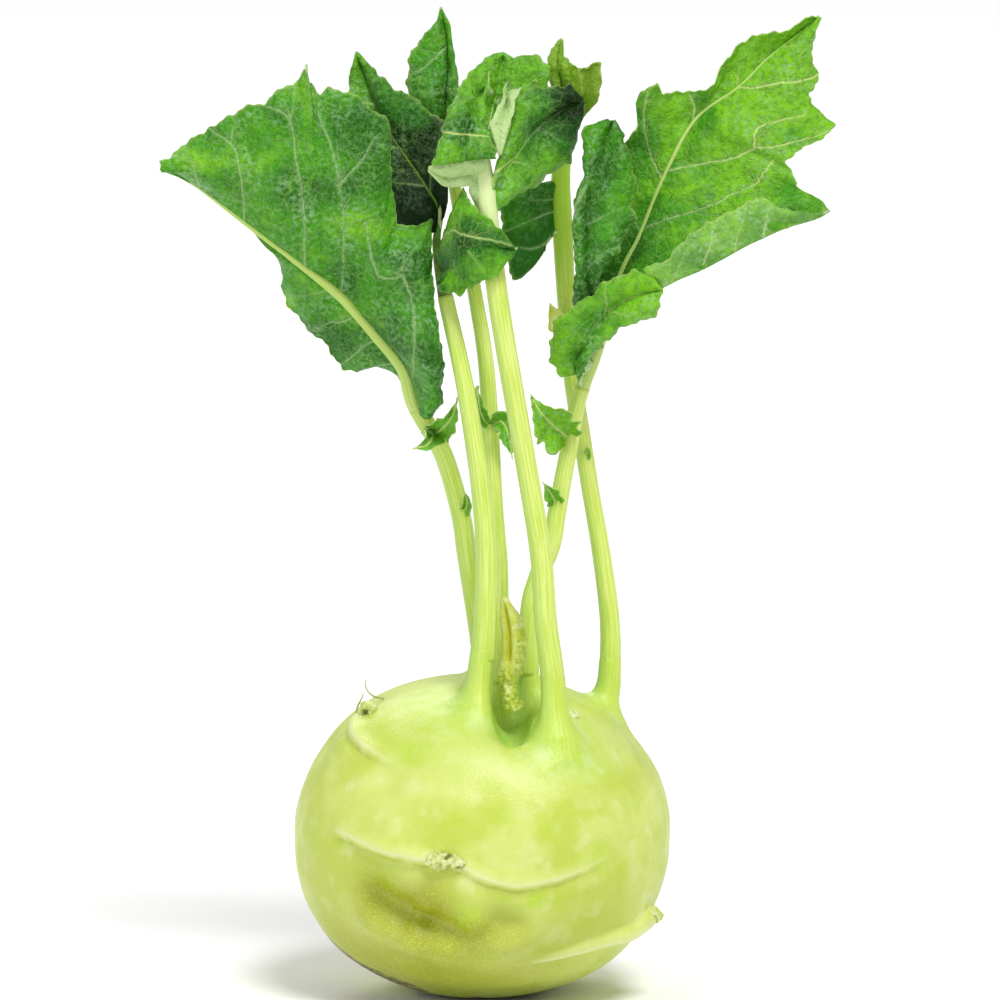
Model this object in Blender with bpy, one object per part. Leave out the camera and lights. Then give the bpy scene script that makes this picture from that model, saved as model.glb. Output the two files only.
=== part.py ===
"""A kohlrabi pulled and trimmed: the swollen stem stands on its cut base, and six leaf stalks
rise from its crown with torn, folded leaves. Lengths are in millimetres and are turned into
metres as each mesh is made. +X is right, +Y is back and +Z is up. The origin is the middle of
the flat spot that the swollen stem stands on."""

import math

import bmesh
import bpy
import numpy as np

MM = 0.001
GAP = 0.3

# The swollen stem: a flattened globe.
BULB_RADIUS = 47.0
BULB_HALF_HEIGHT = 40.3
BULB_CENTRE_HEIGHT = 39.6
BULB_ROUNDNESS = 2.2
BULB_RINGS = 26
BULB_SEGMENTS = 44
BASE_RADIUS = 13.0

# The stalks.
STALK_SIDES = 10
FOOT_SIDES = 12
RIDGE_SIDES = 8
FOOT_HEIGHT = 13.0
FOOT_DEPTH = 7.0
FOOT_FADE = 4.5
STUB_FOOT_HEIGHT = 4.0
MIDRIB_SIDES = 8
MIDRIB_STOP = 5.0

# The leaf blades.
BLADE_THICKNESS = 0.7
BLADE_COLUMNS = 4
BLADE_STEP = 7.6
LEAST_STEP = 1.2
WAVE_LENGTH = 19.0
TUFT_CUP = 0.55
TUFT_ROWS = 7

BULB_GREEN = (0.62, 0.74, 0.22)
STALK_GREEN = (0.55, 0.72, 0.25)
LEAF_GREEN = (0.09, 0.26, 0.03)
DARK_GREEN = (0.03, 0.12, 0.03)
DRY_GREEN = (0.36, 0.36, 0.10)
LEAF_COLOURS = {
    "left": LEAF_GREEN,
    "front_left": DARK_GREEN,
    "back": LEAF_GREEN,
    "front": DARK_GREEN,
    "right": LEAF_GREEN,
    "right_rear": LEAF_GREEN,
}


# Leaf-scar ridges on the swollen stem. Each has the points that it follows over the surface, how
# high it stands at each point, and its radius there.
SCAR_RIDGES = [
    dict(
        path=[
            (-38, -27, 47), (-35, -31, 46), (-29, -37, 44.3), (-23, -41, 42.6), (-14, -45, 41.4),
            (-8, -46, 41),
        ],
        heights=(0, 0.6, 1.1, 1.4, 1.3, 0.6), radii=(1.5, 1.9, 2.2, 2.3, 2.2, 1.6),
    ),
    dict(
        path=[
            (-7, -46, 41), (-4, -47, 39.6), (2, -47, 36.6), (9.5, -46, 35), (19.5, -43, 36.5),
            (27, -38, 39.2), (34, -32, 41.4),
        ],
        heights=(0.5, 0.9, 0.9, 0.8, 0.7, 0.4, 0), radii=(1.3, 1.4, 1.4, 1.4, 1.3, 1.2, 1.2),
    ),
    dict(
        path=[
            (9, -37, 14), (19, -35, 15), (29, -30, 17.4), (36, -22, 19.6), (39.5, -15.5, 21),
            (41, -11.5, 21.6),
        ],
        heights=(0, 1.0, 1.8, 2.8, 3.4, 3.2), radii=(1.4, 1.7, 2.2, 2.9, 3.4, 3.5),
    ),
    dict(
        path=[
            (-32, -3, 71.5), (-32, -10, 69.5), (-31, -19, 67.5), (-28, -25, 65.6),
            (-24, -30, 64.3), (-17, -37, 61.5),
        ],
        heights=(0.8, 1.1, 1.1, 0.8, 0.4, 0), radii=(1.8, 1.8, 1.8, 1.6, 1.5, 1.5),
    ),
    dict(
        path=[(36, 24, 56), (26, 35, 52), (12, 43, 49), (-2, 45, 48), (-14, 43, 50), (-26, 35, 54)],
        heights=(0, 0.8, 1.3, 1.3, 0.7, 0), radii=(1.5, 2.0, 2.3, 2.3, 1.7, 1.5),
    ),
    dict(
        path=[(-44, 2, 28), (-40, 16, 26), (-33, 27, 25), (-22, 35, 25), (-10, 40, 27)],
        heights=(0, 0.9, 1.4, 1.2, 0), radii=(1.5, 2.0, 2.3, 2.0, 1.5),
    ),
]

# Corky lumps at the middle of the scars: place, radius and height.
SCAR_LUMPS = [
    ((-9.5, -46, 41.3), 3.0, 2.2),
    ((-6, -46.5, 40.6), 2.2, 1.6),
    ((41, -11, 21.6), 3.8, 2.8),
    ((-29, -4, 73), 2.9, 1.1),
    ((23, -18, 73.5), 2.6, 0.9),
    ((2, 45.5, 48), 2.8, 1.9),
    ((-33, 27, 25), 2.6, 1.9),
]

# Bumps and hollows: centre, height (below zero for a hollow) and half-width.
SWELLINGS = [
    ((7, -13, 78), -11.0, 7.5),
    ((7.5, -28.5, 71.5), -5.0, 5.8),
    ((-24, -41, 45), 1.2, 7.0),
    ((36, -24, 21), 1.2, 6.5),
    ((-31, -14, 69), 0.8, 5.0),
    ((-40, -4, 62), -1.5, 9.0),
    ((38, -2, 64), -1.4, 9.0),
    ((-26, -37, 32), -3.6, 4.6),
    ((-20, -40, 27.5), -4.2, 4.6),
    ((-13, -43, 24.5), -3.8, 4.4),
    ((-6.5, -44, 23), -2.2, 4.0),
    ((5, -45, 24.5), -2.4, 4.4),
    ((-27, -36, 22), 2.2, 5.0),
    ((-18, -39, 19), 2.6, 5.0),
    ((-9, -41, 16.5), 2.0, 5.0),
    ((7, -42, 17), 1.4, 7.5),
    ((-24, -36, 58), -1.0, 6.0),
    ((20, -38, 50), 0.8, 12.0),
    ((30, -34, 28), 0.8, 9.0),
    ((-2, 44, 34), -1.4, 9.0),
    ((26, 38, 40), 1.0, 10.0),
    ((-36, 24, 40), 1.0, 9.0),
    ((38, 12, 30), -1.0, 9.0),
]


def smooth_path(points, step):
    """A Catmull-Rom curve through the points, with a point about every step."""
    points = [np.array(p, float) for p in points]
    padded = [2 * points[0] - points[1], *points, 2 * points[-1] - points[-2]]
    path = [points[0]]
    for before, start, end, after in zip(padded, padded[1:], padded[2:], padded[3:]):
        count = max(1, round(float(np.linalg.norm(end - start)) / step))
        for t in np.arange(1, count + 1) / count:
            path.append(
                0.5
                * (
                    2 * start
                    + (end - before) * t
                    + (2 * before - 5 * start + 4 * end - after) * t**2
                    + (3 * start - before - 3 * end + after) * t**3
                )
            )
    return np.array(path)


def lengths_along(path):
    """How far along the path each of its points lies."""
    return np.concatenate([[0], np.cumsum(np.linalg.norm(np.diff(path, axis=0), axis=1))])


def at_length(path, where):
    """The point at each distance in where along the path."""
    along = lengths_along(path)
    return np.stack([np.interp(where, along, path[:, k]) for k in range(3)], axis=-1)


def unit(vectors):
    return vectors / np.linalg.norm(vectors, axis=-1, keepdims=True)


def material(name, colour, roughness):
    made = bpy.data.materials.new(name)
    made.use_nodes = True
    shader = made.node_tree.nodes["Principled BSDF"]
    shader.inputs["Base Color"].default_value = (*colour, 1)
    shader.inputs["Roughness"].default_value = roughness
    return made


def new_object(name, points, faces, finish):
    """An object with this mesh, given in millimetres."""
    mesh = bpy.data.meshes.new(name)
    mesh.from_pydata([tuple(p) for p in np.asarray(points) * MM], [], [tuple(map(int, f)) for f in faces])
    mesh.shade_smooth()
    mesh.set_sharp_from_angle(angle=math.radians(40))
    mesh.materials.append(finish)
    made = bpy.data.objects.new(name, mesh)
    bpy.context.scene.collection.objects.link(made)
    return made


def combine(target, others, operation, solver="EXACT"):
    """Applies one Boolean of all the other objects to target, and removes them."""
    group = bpy.data.collections.new("operands")
    bpy.context.scene.collection.children.link(group)
    for other in others:
        bpy.context.scene.collection.objects.unlink(other)
        group.objects.link(other)
    modifier = target.modifiers.new("combine", "BOOLEAN")
    modifier.operation = operation
    modifier.solver = solver
    modifier.operand_type = "COLLECTION"
    modifier.collection = group
    graph = bpy.context.evaluated_depsgraph_get()
    mesh = bpy.data.meshes.new_from_object(target.evaluated_get(graph))
    target.modifiers.clear()
    target.data = mesh
    for other in others:
        bpy.data.objects.remove(other)
    bpy.data.collections.remove(group)
    keep_largest(target)
    return target


def tube(name, path, radii, sides, finish, squash=1.0):
    """A closed tube along the path. squash below 1 makes it shallower from front to back."""
    tangents = unit(np.gradient(path, axis=0))
    across = unit(np.cross(tangents, (0, -1, 0)))
    depth = np.cross(across, tangents)
    turns = np.arange(sides) * 2 * math.pi / sides
    points = []
    for centre, side, back, radius in zip(path, across, depth, radii):
        for turn in turns:
            points.append(centre + radius * (math.cos(turn) * side + squash * math.sin(turn) * back))
    faces = []
    for ring in range(len(path) - 1):
        for k in range(sides):
            a = ring * sides + k
            b = ring * sides + (k + 1) % sides
            faces.append((a, b, b + sides, a + sides))
    faces.append(tuple(range(sides))[::-1])
    faces.append(tuple(range((len(path) - 1) * sides, len(path) * sides)))
    made = new_object(name, points, faces, finish)
    face_outwards(made)
    return made


def face_outwards(made):
    mesh = bmesh.new()
    mesh.from_mesh(made.data)
    bmesh.ops.recalc_face_normals(mesh, faces=mesh.faces)
    mesh.to_mesh(made.data)
    mesh.free()


def sheet_normals(grid):
    """The sheet's direction at each grid point, evened out between neighbours so that a sharp notch
    or a tip doesn't turn it over."""
    normals = np.cross(np.gradient(grid, axis=0), np.gradient(grid, axis=1))
    size = np.linalg.norm(normals, axis=-1, keepdims=True)
    normals = normals / np.maximum(size, 1e-6)
    for _ in range(2):
        padded = np.pad(normals, ((1, 1), (1, 1), (0, 0)), mode="edge")
        normals = sum(padded[i : i + len(grid), j : j + grid.shape[1]] for i in range(3) for j in range(3))
    for row in (0, -1):
        if is_tip(grid[row]):
            normals[row] = normals[row].mean(axis=0)
    return unit(normals)


def is_tip(row):
    return np.ptp(row, axis=0).max() < 1e-6


def sheet(name, grid, thickness, finish):
    """A closed sheet over a grid of points, split into triangles alike on both faces."""
    rows, columns = grid.shape[:2]
    half = sheet_normals(grid) * thickness / 2
    points = np.concatenate([(grid + half).reshape(-1, 3), (grid - half).reshape(-1, 3)])
    under = rows * columns
    index = np.arange(under).reshape(rows, columns)
    for row in (0, -1):
        if is_tip(grid[row]):
            index[row] = index[row, 0]
    faces = []
    for i in range(rows - 1):
        for j in range(columns - 1):
            a, b, c, d = index[i, j], index[i + 1, j], index[i + 1, j + 1], index[i, j + 1]
            faces += [(a, b, c), (a, c, d)]
            faces += [(c + under, b + under, a + under), (d + under, c + under, a + under)]
    rim = [*index[:, 0], *index[-1, 1:], *index[-2::-1, -1], *index[0, -2:0:-1]]
    for a, b in zip(rim, rim[1:] + rim[:1]):
        faces += [(a, a + under, b + under), (a, b + under, b)]
    whole = [face for face in faces if len(set(face)) == 3]
    used = sorted({corner for face in whole for corner in face})
    place = {corner: k for k, corner in enumerate(used)}
    made = new_object(name, points[used], [tuple(place[k] for k in face) for face in whole], finish)
    face_outwards(made)
    return made


def keep_largest(made):
    """Drops the loose scraps and sealed hollows that a Boolean leaves beside the main body."""
    mesh = bmesh.new()
    mesh.from_mesh(made.data)
    unseen = set(mesh.verts)
    bodies = []
    while unseen:
        body = {unseen.pop()}
        edge = list(body)
        while edge:
            for link in edge.pop().link_edges:
                for corner in link.verts:
                    if corner in unseen:
                        unseen.remove(corner)
                        body.add(corner)
                        edge.append(corner)
        bodies.append(body)
    largest = max(bodies, key=len)
    bmesh.ops.delete(mesh, geom=[v for v in mesh.verts if v not in largest], context="VERTS")
    mesh.to_mesh(made.data)
    mesh.free()


def bulb_surface(directions):
    """The swollen stem's surface along each direction from its centre, with its swellings and hollows."""
    centre = np.array([0, 0, BULB_CENTRE_HEIGHT])
    flat = np.hypot(directions[:, 0], directions[:, 1]) / BULB_RADIUS
    up = np.abs(directions[:, 2]) / BULB_HALF_HEIGHT
    reach = (flat**BULB_ROUNDNESS + up**BULB_ROUNDNESS) ** (-1 / BULB_ROUNDNESS)
    plain = directions * reach[:, None]
    raised = np.zeros(len(directions))
    for place, height, width in SWELLINGS:
        near = np.linalg.norm(plain + centre - np.array(place), axis=1)
        raised += height * np.exp(-((near / width) ** 2))
    surface = plain + directions * raised[:, None] + centre
    surface[:, 2] = np.maximum(surface[:, 2], 0)
    return surface


def globe(finish):
    """The swollen stem without its stalk feet: rings from the top down to the flat cut base."""
    centre = np.array([0, 0, BULB_CENTRE_HEIGHT])
    base_angle = math.asin(BULB_CENTRE_HEIGHT / math.hypot(BULB_CENTRE_HEIGHT, BASE_RADIUS))
    heights = np.linspace(math.pi / 2, -base_angle, BULB_RINGS + 1)[1:]
    turns = np.arange(BULB_SEGMENTS) * 2 * math.pi / BULB_SEGMENTS
    directions = [(0, 0, 1)]
    for height in heights:
        for turn in turns:
            directions.append(
                (math.cos(height) * math.cos(turn), math.cos(height) * math.sin(turn), math.sin(height))
            )
    points = bulb_surface(np.array(directions, float))
    points[-BULB_SEGMENTS:, 2] = 0
    faces = []
    for k in range(BULB_SEGMENTS):
        faces.append((0, 1 + k, 1 + (k + 1) % BULB_SEGMENTS))
    for ring in range(BULB_RINGS - 1):
        for k in range(BULB_SEGMENTS):
            a = 1 + ring * BULB_SEGMENTS + k
            b = 1 + ring * BULB_SEGMENTS + (k + 1) % BULB_SEGMENTS
            faces.append((a, a + BULB_SEGMENTS, b + BULB_SEGMENTS, b))
    last = 1 + (BULB_RINGS - 1) * BULB_SEGMENTS
    faces.append(tuple(range(last + BULB_SEGMENTS - 1, last - 1, -1)))
    made = new_object("bulb", points, faces, finish)
    face_outwards(made)
    return made


def on_bulb(points):
    """The swollen stem's surface under these points, and the direction out of it there."""
    directions = unit(np.array(points, float) - (0, 0, BULB_CENTRE_HEIGHT))
    return bulb_surface(directions), directions


def scar_ridge(ridge, finish):
    """A ridge half sunk in the swollen stem's surface, which rises and fades along its path."""
    path = smooth_path(ridge["path"], 4.0)
    share = lengths_along(path) / lengths_along(path)[-1]
    stops = lengths_along(np.array(ridge["path"], float))
    heights = np.interp(share, stops / stops[-1], ridge["heights"])
    radii = np.interp(share, stops / stops[-1], ridge["radii"])
    surface, outwards = on_bulb(path)
    return tube("ridge", surface + outwards * (heights - radii)[:, None], radii, RIDGE_SIDES, finish)


def scar_lump(place, radius, height, seed, finish):
    """A rough corky lump that stands out of the swollen stem's surface."""
    draw = np.random.default_rng(seed)
    surface, outwards = on_bulb([place])
    mesh = bmesh.new()
    bmesh.ops.create_icosphere(mesh, subdivisions=2, radius=1.0)
    for corner in mesh.verts:
        spot = np.array(corner.co) * radius * draw.uniform(0.85, 1.1)
        corner.co = surface[0] + outwards[0] * (height - radius) + spot
    points = [corner.co[:] for corner in mesh.verts]
    faces = [[corner.index for corner in face.verts] for face in mesh.faces]
    mesh.free()
    return new_object("lump", points, faces, finish)


# Each stalk: its path from the crown to the tip of its leaf, its radius at the crown, halfway up
# the stalk, at the leaf and at the tip, how far its foot flares, and where the leaf starts.
STALKS = {
    "left": dict(
        path=[
            (1, 14, 78), (-2, 13, 97), (-4, 12, 110), (-5.5, 11, 120), (-9.8, 9, 135), (-16.8, 7, 148),
            (-19.5, 5.5, 157), (-25.8, 4, 165), (-35, 1, 175.5), (-45, -2, 184), (-59, -4, 195),
            (-72, -5, 205), (-79.5, -6, 209.5),
        ],
        radii=(2.5, 2.5, 2.3, 0.5), flare=0.5, leaf_at=(-15.5, 7.3, 146),
    ),
    "front_left": dict(
        path=[
            (-1, -19.5, 77), (-0.3, -18.5, 83), (0.8, -17, 97), (1, -15, 114), (-0.5, -13, 131),
            (-3.5, -10, 150.5), (-5.8, -7, 162), (-9.3, -2, 177), (-11.3, 2, 189), (-10.5, 5, 197),
            (-15, 8, 204), (-22.5, 11, 215), (-27.5, 13, 225.5), (-31.3, 15, 235.5),
        ],
        radii=(3.1, 2.5, 2.0, 0.5), flare=0.75, leaf_at=(-9.3, -2, 175),
    ),
    "back": dict(
        path=[
            (4.5, -6.5, 69), (4, -4, 81), (4.3, 2, 105), (3, 5, 123), (1.3, 9, 154.5), (-1.5, 11, 173.5),
            (-4.3, 12, 188), (-7, 13.5, 203), (-9, 15, 218), (-8, 16, 228), (-8.3, 17, 237.5),
            (-10.3, 18, 246.5),
        ],
        radii=(2.4, 2.2, 1.5, 0.5), flare=0.4, leaf_at=(-7.5, 13.8, 206),
    ),
    "front": dict(
        path=[
            (18, -27, 71), (17.8, -26, 77), (17.5, -25, 84), (15.8, -23.5, 98), (14.5, -22, 115),
            (10.5, -19.5, 139), (4, -14, 177), (0.8, -9, 206), (0.8, -4, 213), (2, 0, 220),
            (4, 3, 228), (5.3, 5, 236),
        ],
        radii=(3.0, 2.6, 2.6, 0.5), flare=0.8, leaf_at=(2.4, -11.7, 191),
    ),
    "right": dict(
        path=[
            (12, -5, 71), (11.8, -2, 95), (14, 0, 105), (17.3, 1, 113), (18.8, 2, 121.5), (21.5, 3, 136),
            (24.3, 4, 150), (29, 4, 162.5), (35, 3, 181.5), (39.5, 2, 191), (45, 1, 205), (53, 0, 220),
            (64, -1, 228.5), (71, -1.5, 235.5), (78, -2, 241), (83.8, -3, 246),
        ],
        radii=(2.4, 2.4, 2.0, 0.5), flare=0.4, leaf_at=(24.8, 4, 151.5),
    ),
    "right_rear": dict(
        path=[
            (30.5, 8, 70.5), (32, 9, 79), (32, 11, 93), (29.8, 13, 110), (27.3, 14, 124.5),
            (25.3, 14.5, 137), (22.5, 15, 155), (21, 15, 175), (20, 14, 195), (19.8, 13, 205.5),
            (22, 11, 217), (23.5, 9, 222),
        ],
        radii=(2.7, 2.2, 2.3, 2.2), flare=0.7, leaf_at=(21, 15, 173),
    ),
}

# The withered remains of a young leaf in the crown.
STUB_PATH = [
    (8.4, -14, 73.5), (6.8, -13.5, 78), (6.7, -13, 82), (7.5, -13, 87), (7.4, -13, 94), (5.4, -12.5, 102),
]
STUB_RADII = [2.2, 1.5, 2.8, 3.1, 2.7, 1.0]

# The lobes of each leaf. A lobe's sheet runs from its left margin over its midline to its right
# margin. Each margin point starts with how far along the midline its vein leaves, from 0 to 1.
# crown is how far each half bows out between midline and margin, towards the front, and wave how
# far its margins swing forwards and back.
LOBES = {
    "left": [
        dict(
            mid=[
                (-15.5, 7.3, 146), (-19.5, 5.5, 157), (-25.8, 4, 165), (-35, 1, 175.5), (-45, -2, 184),
                (-59, -4, 195), (-72, -5, 205), (-79.5, -6, 209.5),
            ],
            left=[
                (0, -19, 9, 154), (0.08, -23, 11, 156.5), (0.15, -28, 12, 157), (0.22, -31.5, 12, 155),
                (0.28, -35, 12, 156), (0.33, -37.3, 12, 159), (0.36, -39, 11, 162.5), (0.4, -43, 10, 165.7),
                (0.47, -48.3, 9, 171.7), (0.53, -50.3, 8, 177.6), (0.58, -49.5, 6.5, 182),
                (0.62, -49.5, 3, 187),
                (0.7, -53.5, 1, 193), (0.85, -64.5, -1, 201.5), (1, -79.5, -6, 209.5),
            ],
            right=[
                (0, -13, 6, 146), (0.03, -9.8, 1, 149), (0.08, -9.3, -4, 158.3), (0.14, -10.3, -7, 166.3),
                (0.2, -12, -5.5, 177), (0.25, -12.5, -4.5, 191), (0.27, -12.5, -5, 196), (0.29, -17, -4, 194),
                (0.31, -20.8, -3, 195), (0.33, -21.8, -3, 200), (0.35, -23, -4, 213), (0.365, -23, -5, 221),
                (0.38, -25.8, -6, 223), (0.395, -31.8, -7, 228), (0.41, -37.8, -8, 229.6),
                (0.425, -40.3, -8, 227.5), (0.44, -43, -8.5, 231), (0.455, -43.5, -9, 236),
                (0.47, -45.5, -9.5, 231.5), (0.53, -51.5, -9.5, 228.3), (0.57, -54, -9, 225.6),
                (0.61, -57, -9, 225.2), (0.68, -61.3, -9, 223.2), (0.76, -65.8, -9, 220.7),
                (0.84, -71, -8.5, 217), (0.88, -73.8, -8, 215.5), (1, -79.5, -6, 209.5),
            ],
            crown=(1.0, 5.0),
            wave=1.2,
        ),
    ],
    "front_left": [
        dict(
            mid=[
                (-10.5, 3, 192), (-10.5, 5, 197), (-15, 8, 204), (-22.5, 11, 215), (-27.5, 13, 225.5),
                (-31.3, 15, 235.5),
            ],
            left=[
                (0, -15, 7, 190.5), (0.08, -20, 8, 190), (0.16, -24, 9, 193), (0.3, -27, 12, 201),
                (0.6, -33, 13, 213), (0.8, -34.5, 14, 223),
                (0.9, -32.8, 14, 226), (0.95, -33.5, 14, 228.6), (1, -31.3, 15, 235.5),
            ],
            right=[
                (0, -10.5, 6.5, 198), (0.15, -8, 10, 208.5), (0.35, -9.3, 10.5, 219), (0.45, -12, 10.5, 221),
                (0.6, -19, 10.5, 226.4), (0.66, -21, 11, 226), (0.85, -27, 13, 231.9), (1, -31.3, 15, 235.5),
            ],
            crown=(2.0, 2.0),
        ),
        dict(
            mid=[(-10, -1.5, 182), (-6.5, -9.5, 187), (-1.8, -15, 190), (8.8, -17.5, 190)],
            left=[
                (0, -11, 0.5, 189), (0.3, -4.8, -9, 205), (0.5, -2.8, -12, 201), (0.8, 3, -16, 196.5),
                (1, 8.8, -17.5, 190),
            ],
            right=[
                (0, -10, -3.5, 179), (0.12, -10.8, -7, 178), (0.25, -7.8, -9.5, 177.5),
                (0.4, -4.5, -12, 177.2),
                (0.47, -3.8, -13, 179), (0.65, 0, -17, 181), (0.8, 4, -18.5, 183), (0.88, 5.3, -18.5, 185),
                (0.95, 7.8, -18, 187), (1, 8.8, -17.5, 190),
            ],
            crown=(1.5, 1.0),
        ),
    ],
    "back": [
        dict(
            mid=[(-8.3, 14.5, 212), (-9, 15, 218), (-8, 16, 228), (-8.3, 17, 237.5), (-10.3, 18, 246.5)],
            left=[
                (0, -10, 15, 217), (0.1, -13.5, 15, 220.3), (0.25, -17.3, 14, 224.3),
                (0.35, -19.3, 14, 226.5),
                (0.5, -18.5, 14, 231), (0.65, -18.3, 15, 235.7), (0.8, -14.8, 16, 239.4),
                (0.93, -11.3, 17, 243.3), (1, -10.3, 18, 246.5),
            ],
            right=[
                (0, -7.5, 14, 215), (0.2, -6, 13, 222), (0.4, -5.8, 12.5, 229), (0.65, -7, 14, 236),
                (0.85, -8, 16, 242), (1, -10.3, 18, 246.5),
            ],
            crown=(1.5, 1.0),
        ),
    ],
    "front": [
        dict(
            mid=[(0.8, -5.5, 211), (2, 0, 220), (4, 3, 228), (5.3, 5, 236)],
            left=[
                (0, -1, -4, 212), (0.2, -4, 0, 218), (0.6, -5, 1, 228.5), (0.8, -3, 3, 232),
                (0.9, 0.3, 4, 235), (0.96, 2.8, 4.5, 236), (1, 5.3, 5, 236.5),
            ],
            right=[
                (0, 3, -4, 212), (0.3, 9, 0, 219), (0.6, 17, 3, 228.3), (0.75, 17, 4, 233.3),
                (0.85, 14, 5, 236.4), (0.9, 12.3, 5, 236), (0.95, 9.8, 5, 234), (0.98, 7.5, 5, 235.4),
                (1, 5.3, 5, 236.5),
            ],
            crown=(1.0, 1.5),
        ),
        dict(
            mid=[(3, 2, 226), (-1.5, -7, 226.5), (-4.3, -11, 218), (-4.3, -14, 211.3)],
            left=[
                (0, -4, -5, 231.5), (0.25, -6.3, -8, 228), (0.5, -8.8, -11, 223), (0.75, -10.3, -13, 218.4),
                (0.95, -12.5, -14.5, 211.5), (1, -12.3, -14.5, 210.3),
            ],
            right=[
                (0, 2, -3.5, 233), (0.3, 1.3, -8, 227), (0.6, 1.3, -12, 220.5), (0.85, 3.3, -14, 215),
                (1, 4.2, -14.5, 212),
            ],
            crown=(1.5, 1.0),
        ),
        dict(
            mid=[(3, 1, 224), (6, -6, 224), (4.5, -11.5, 219.5), (4.5, -13.8, 213)],
            left=[(0, 6.5, -3, 229.5), (0.4, 4, -9.5, 225), (0.7, 1.8, -12.3, 220.5), (1, 4.2, -14, 212.8)],
            right=[(0, 9.5, -4, 228.8), (0.4, 8.5, -9, 224.5), (0.7, 6.8, -11.5, 219),
            (1, 4.8, -13.5, 212.8)],
            crown=(0.3, 0.3),
        ),
        dict(
            mid=[
                (1.8, -10, 200), (4, -8.5, 205), (8.3, -6, 211.6), (13, -4, 217.7), (19.5, -2, 222.5),
                (24.8, -1, 225),
            ],
            left=[
                (0, 1.8, -9.5, 204), (0.12, 3.8, -9, 211.5), (0.25, 6, -8, 217), (0.5, 8.3, -6, 224.5),
                (0.65, 11, -5, 228.9), (0.8, 17, -3, 228.9), (0.92, 22, -2, 229.3), (1, 24.8, -1, 225),
            ],
            right=[
                (0, 3.8, -8.3, 197.5), (0.15, 8.3, -5, 201), (0.4, 14, -3, 204), (0.52, 16.8, -2, 206.8),
                (0.6, 18.8, -1.5, 208), (0.72, 22, -1, 209.4), (0.8, 22.8, -1, 212.7), (0.88, 23.8, -1, 216),
                (0.95, 24.8, -1, 222), (1, 24.8, -1, 225),
            ],
            crown=(1.5, 2.0),
        ),
    ],
    "right": [
        dict(
            mid=[
                (33, 3.5, 175), (35, 3, 181.5), (39.5, 2, 191), (45, 1, 205), (53, 0, 220), (64, -1, 228.5),
                (71, -1.5, 235.5), (78, -2, 241), (83.8, -3, 246),
            ],
            left=[
                (0, 28.5, 3.5, 170), (0.05, 29.5, 4.5, 182), (0.1, 32, 5, 190), (0.14, 35, 4, 203),
                (0.18, 35.5, 2, 214.6),
                (0.22, 38, 0, 218.6), (0.3, 39, -2, 226.7), (0.33, 41, -3, 229.2), (0.36, 43.5, -3, 230),
                (0.4, 45, -3, 227.4), (0.47, 50.3, -3, 227), (0.54, 56, -3, 228.2), (0.58, 58, -3, 230),
                (0.62, 59.3, -4, 234), (0.68, 63.5, -4, 239.4), (0.76, 69.3, -4, 242.7),
                (0.84, 74.5, -4, 243), (0.94, 82, -4, 247), (1, 83.8, -3, 246.3),
            ],
            right=[
                (0, 42, -6, 177), (0.08, 46, -8, 180), (0.16, 55.3, -10, 184.2), (0.27, 65.5, -10, 189.7),
                (0.35, 75, -9, 194), (0.4, 83.3, -8, 196.5), (0.43, 86.5, -7.5, 198.4), (0.46, 84, -7, 201),
                (0.48, 80.3, -7, 203), (0.5, 78.3, -7, 204.7), (0.53, 77.3, -6, 208.6), (0.56, 75, -6, 210.3),
                (0.59, 78.3, -6, 212.4), (0.64, 86, -5, 216.8), (0.67, 88.3, -5, 218.6),
                (0.72, 83.3, -4, 223.7), (0.76, 81.3, -4, 227), (0.79, 83.3, -3.5, 228),
                (0.83, 84, -3, 232.2),
                (0.86, 82.8, -3, 234.5), (0.91, 82, -3, 239), (0.95, 82.8, -3, 243.5), (1, 83.8, -3, 246.3),
            ],
            crown=(-2.0, 2.0),
            wave=1.2,
        ),
        dict(
            mid=[
                (44, -7.5, 178.5), (46, -8, 180), (55.3, -10, 184.2), (65.5, -10, 189.7), (75, -9, 194),
                (83.3, -8, 196.5), (86.5, -7.5, 198.4),
            ],
            left=[
                (0, 39.5, -9, 183.8), (0.1, 45, -11, 186.1), (0.25, 50.3, -12, 192), (0.4, 55.3, -12, 195.8),
                (0.55, 61.8, -12, 199.4), (0.72, 70, -11, 202.5), (0.8, 73.3, -10.5, 199.4),
                (0.9, 78.3, -9.5, 198.5), (1, 84.8, -8, 197.3),
            ],
            right=[
                (0, 44, -7, 179.3), (0.27, 55, -9.5, 185), (0.52, 65.2, -9.5, 190.5),
                (0.74, 74.7, -8.5, 194.8), (0.92, 83, -7.5, 197.2), (1, 86.2, -7, 198.6),
            ],
            crown=(0.3, 0.0),
        ),
        dict(
            mid=[
                (29, 4, 162.3), (27.5, 0, 174.5), (25.8, -4, 184), (25.3, -5, 196.6), (28.3, -5, 209),
                (32.8, -4, 220.5),
            ],
            left=[
                (0, 28, 3.5, 163), (0.15, 22.3, -1, 174.5), (0.35, 23, -6, 186.6), (0.6, 23, -6, 201.5),
                (0.75, 24.8, -6, 206), (0.92, 25, -5, 218.6), (1, 31, -4, 220.5),
            ],
            right=[
                (0, 30, 2.5, 163), (0.12, 28.3, -4, 177.5), (0.25, 30, -5, 184), (0.4, 34.3, -6, 187.7),
                (0.5, 35.8, -6, 191.2), (0.56, 39, -6, 196.2), (0.62, 38, -6, 199), (0.75, 39.3, -6, 205),
                (0.85, 36.8, -6, 211.6), (0.93, 35.3, -5, 217), (1, 32.8, -4, 220.5),
            ],
            crown=(1.0, 1.5),
        ),
        dict(
            mid=[(28, 4, 158.5), (25.5, -3, 163), (29.5, -5.5, 171), (37, -7.5, 176.5), (45, -8, 178.5)],
            left=[
                (0, 23, 1, 156), (0.08, 19.5, -2, 155.4), (0.16, 16.5, -2, 160.3), (0.24, 16.5, -4, 165.2),
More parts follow.
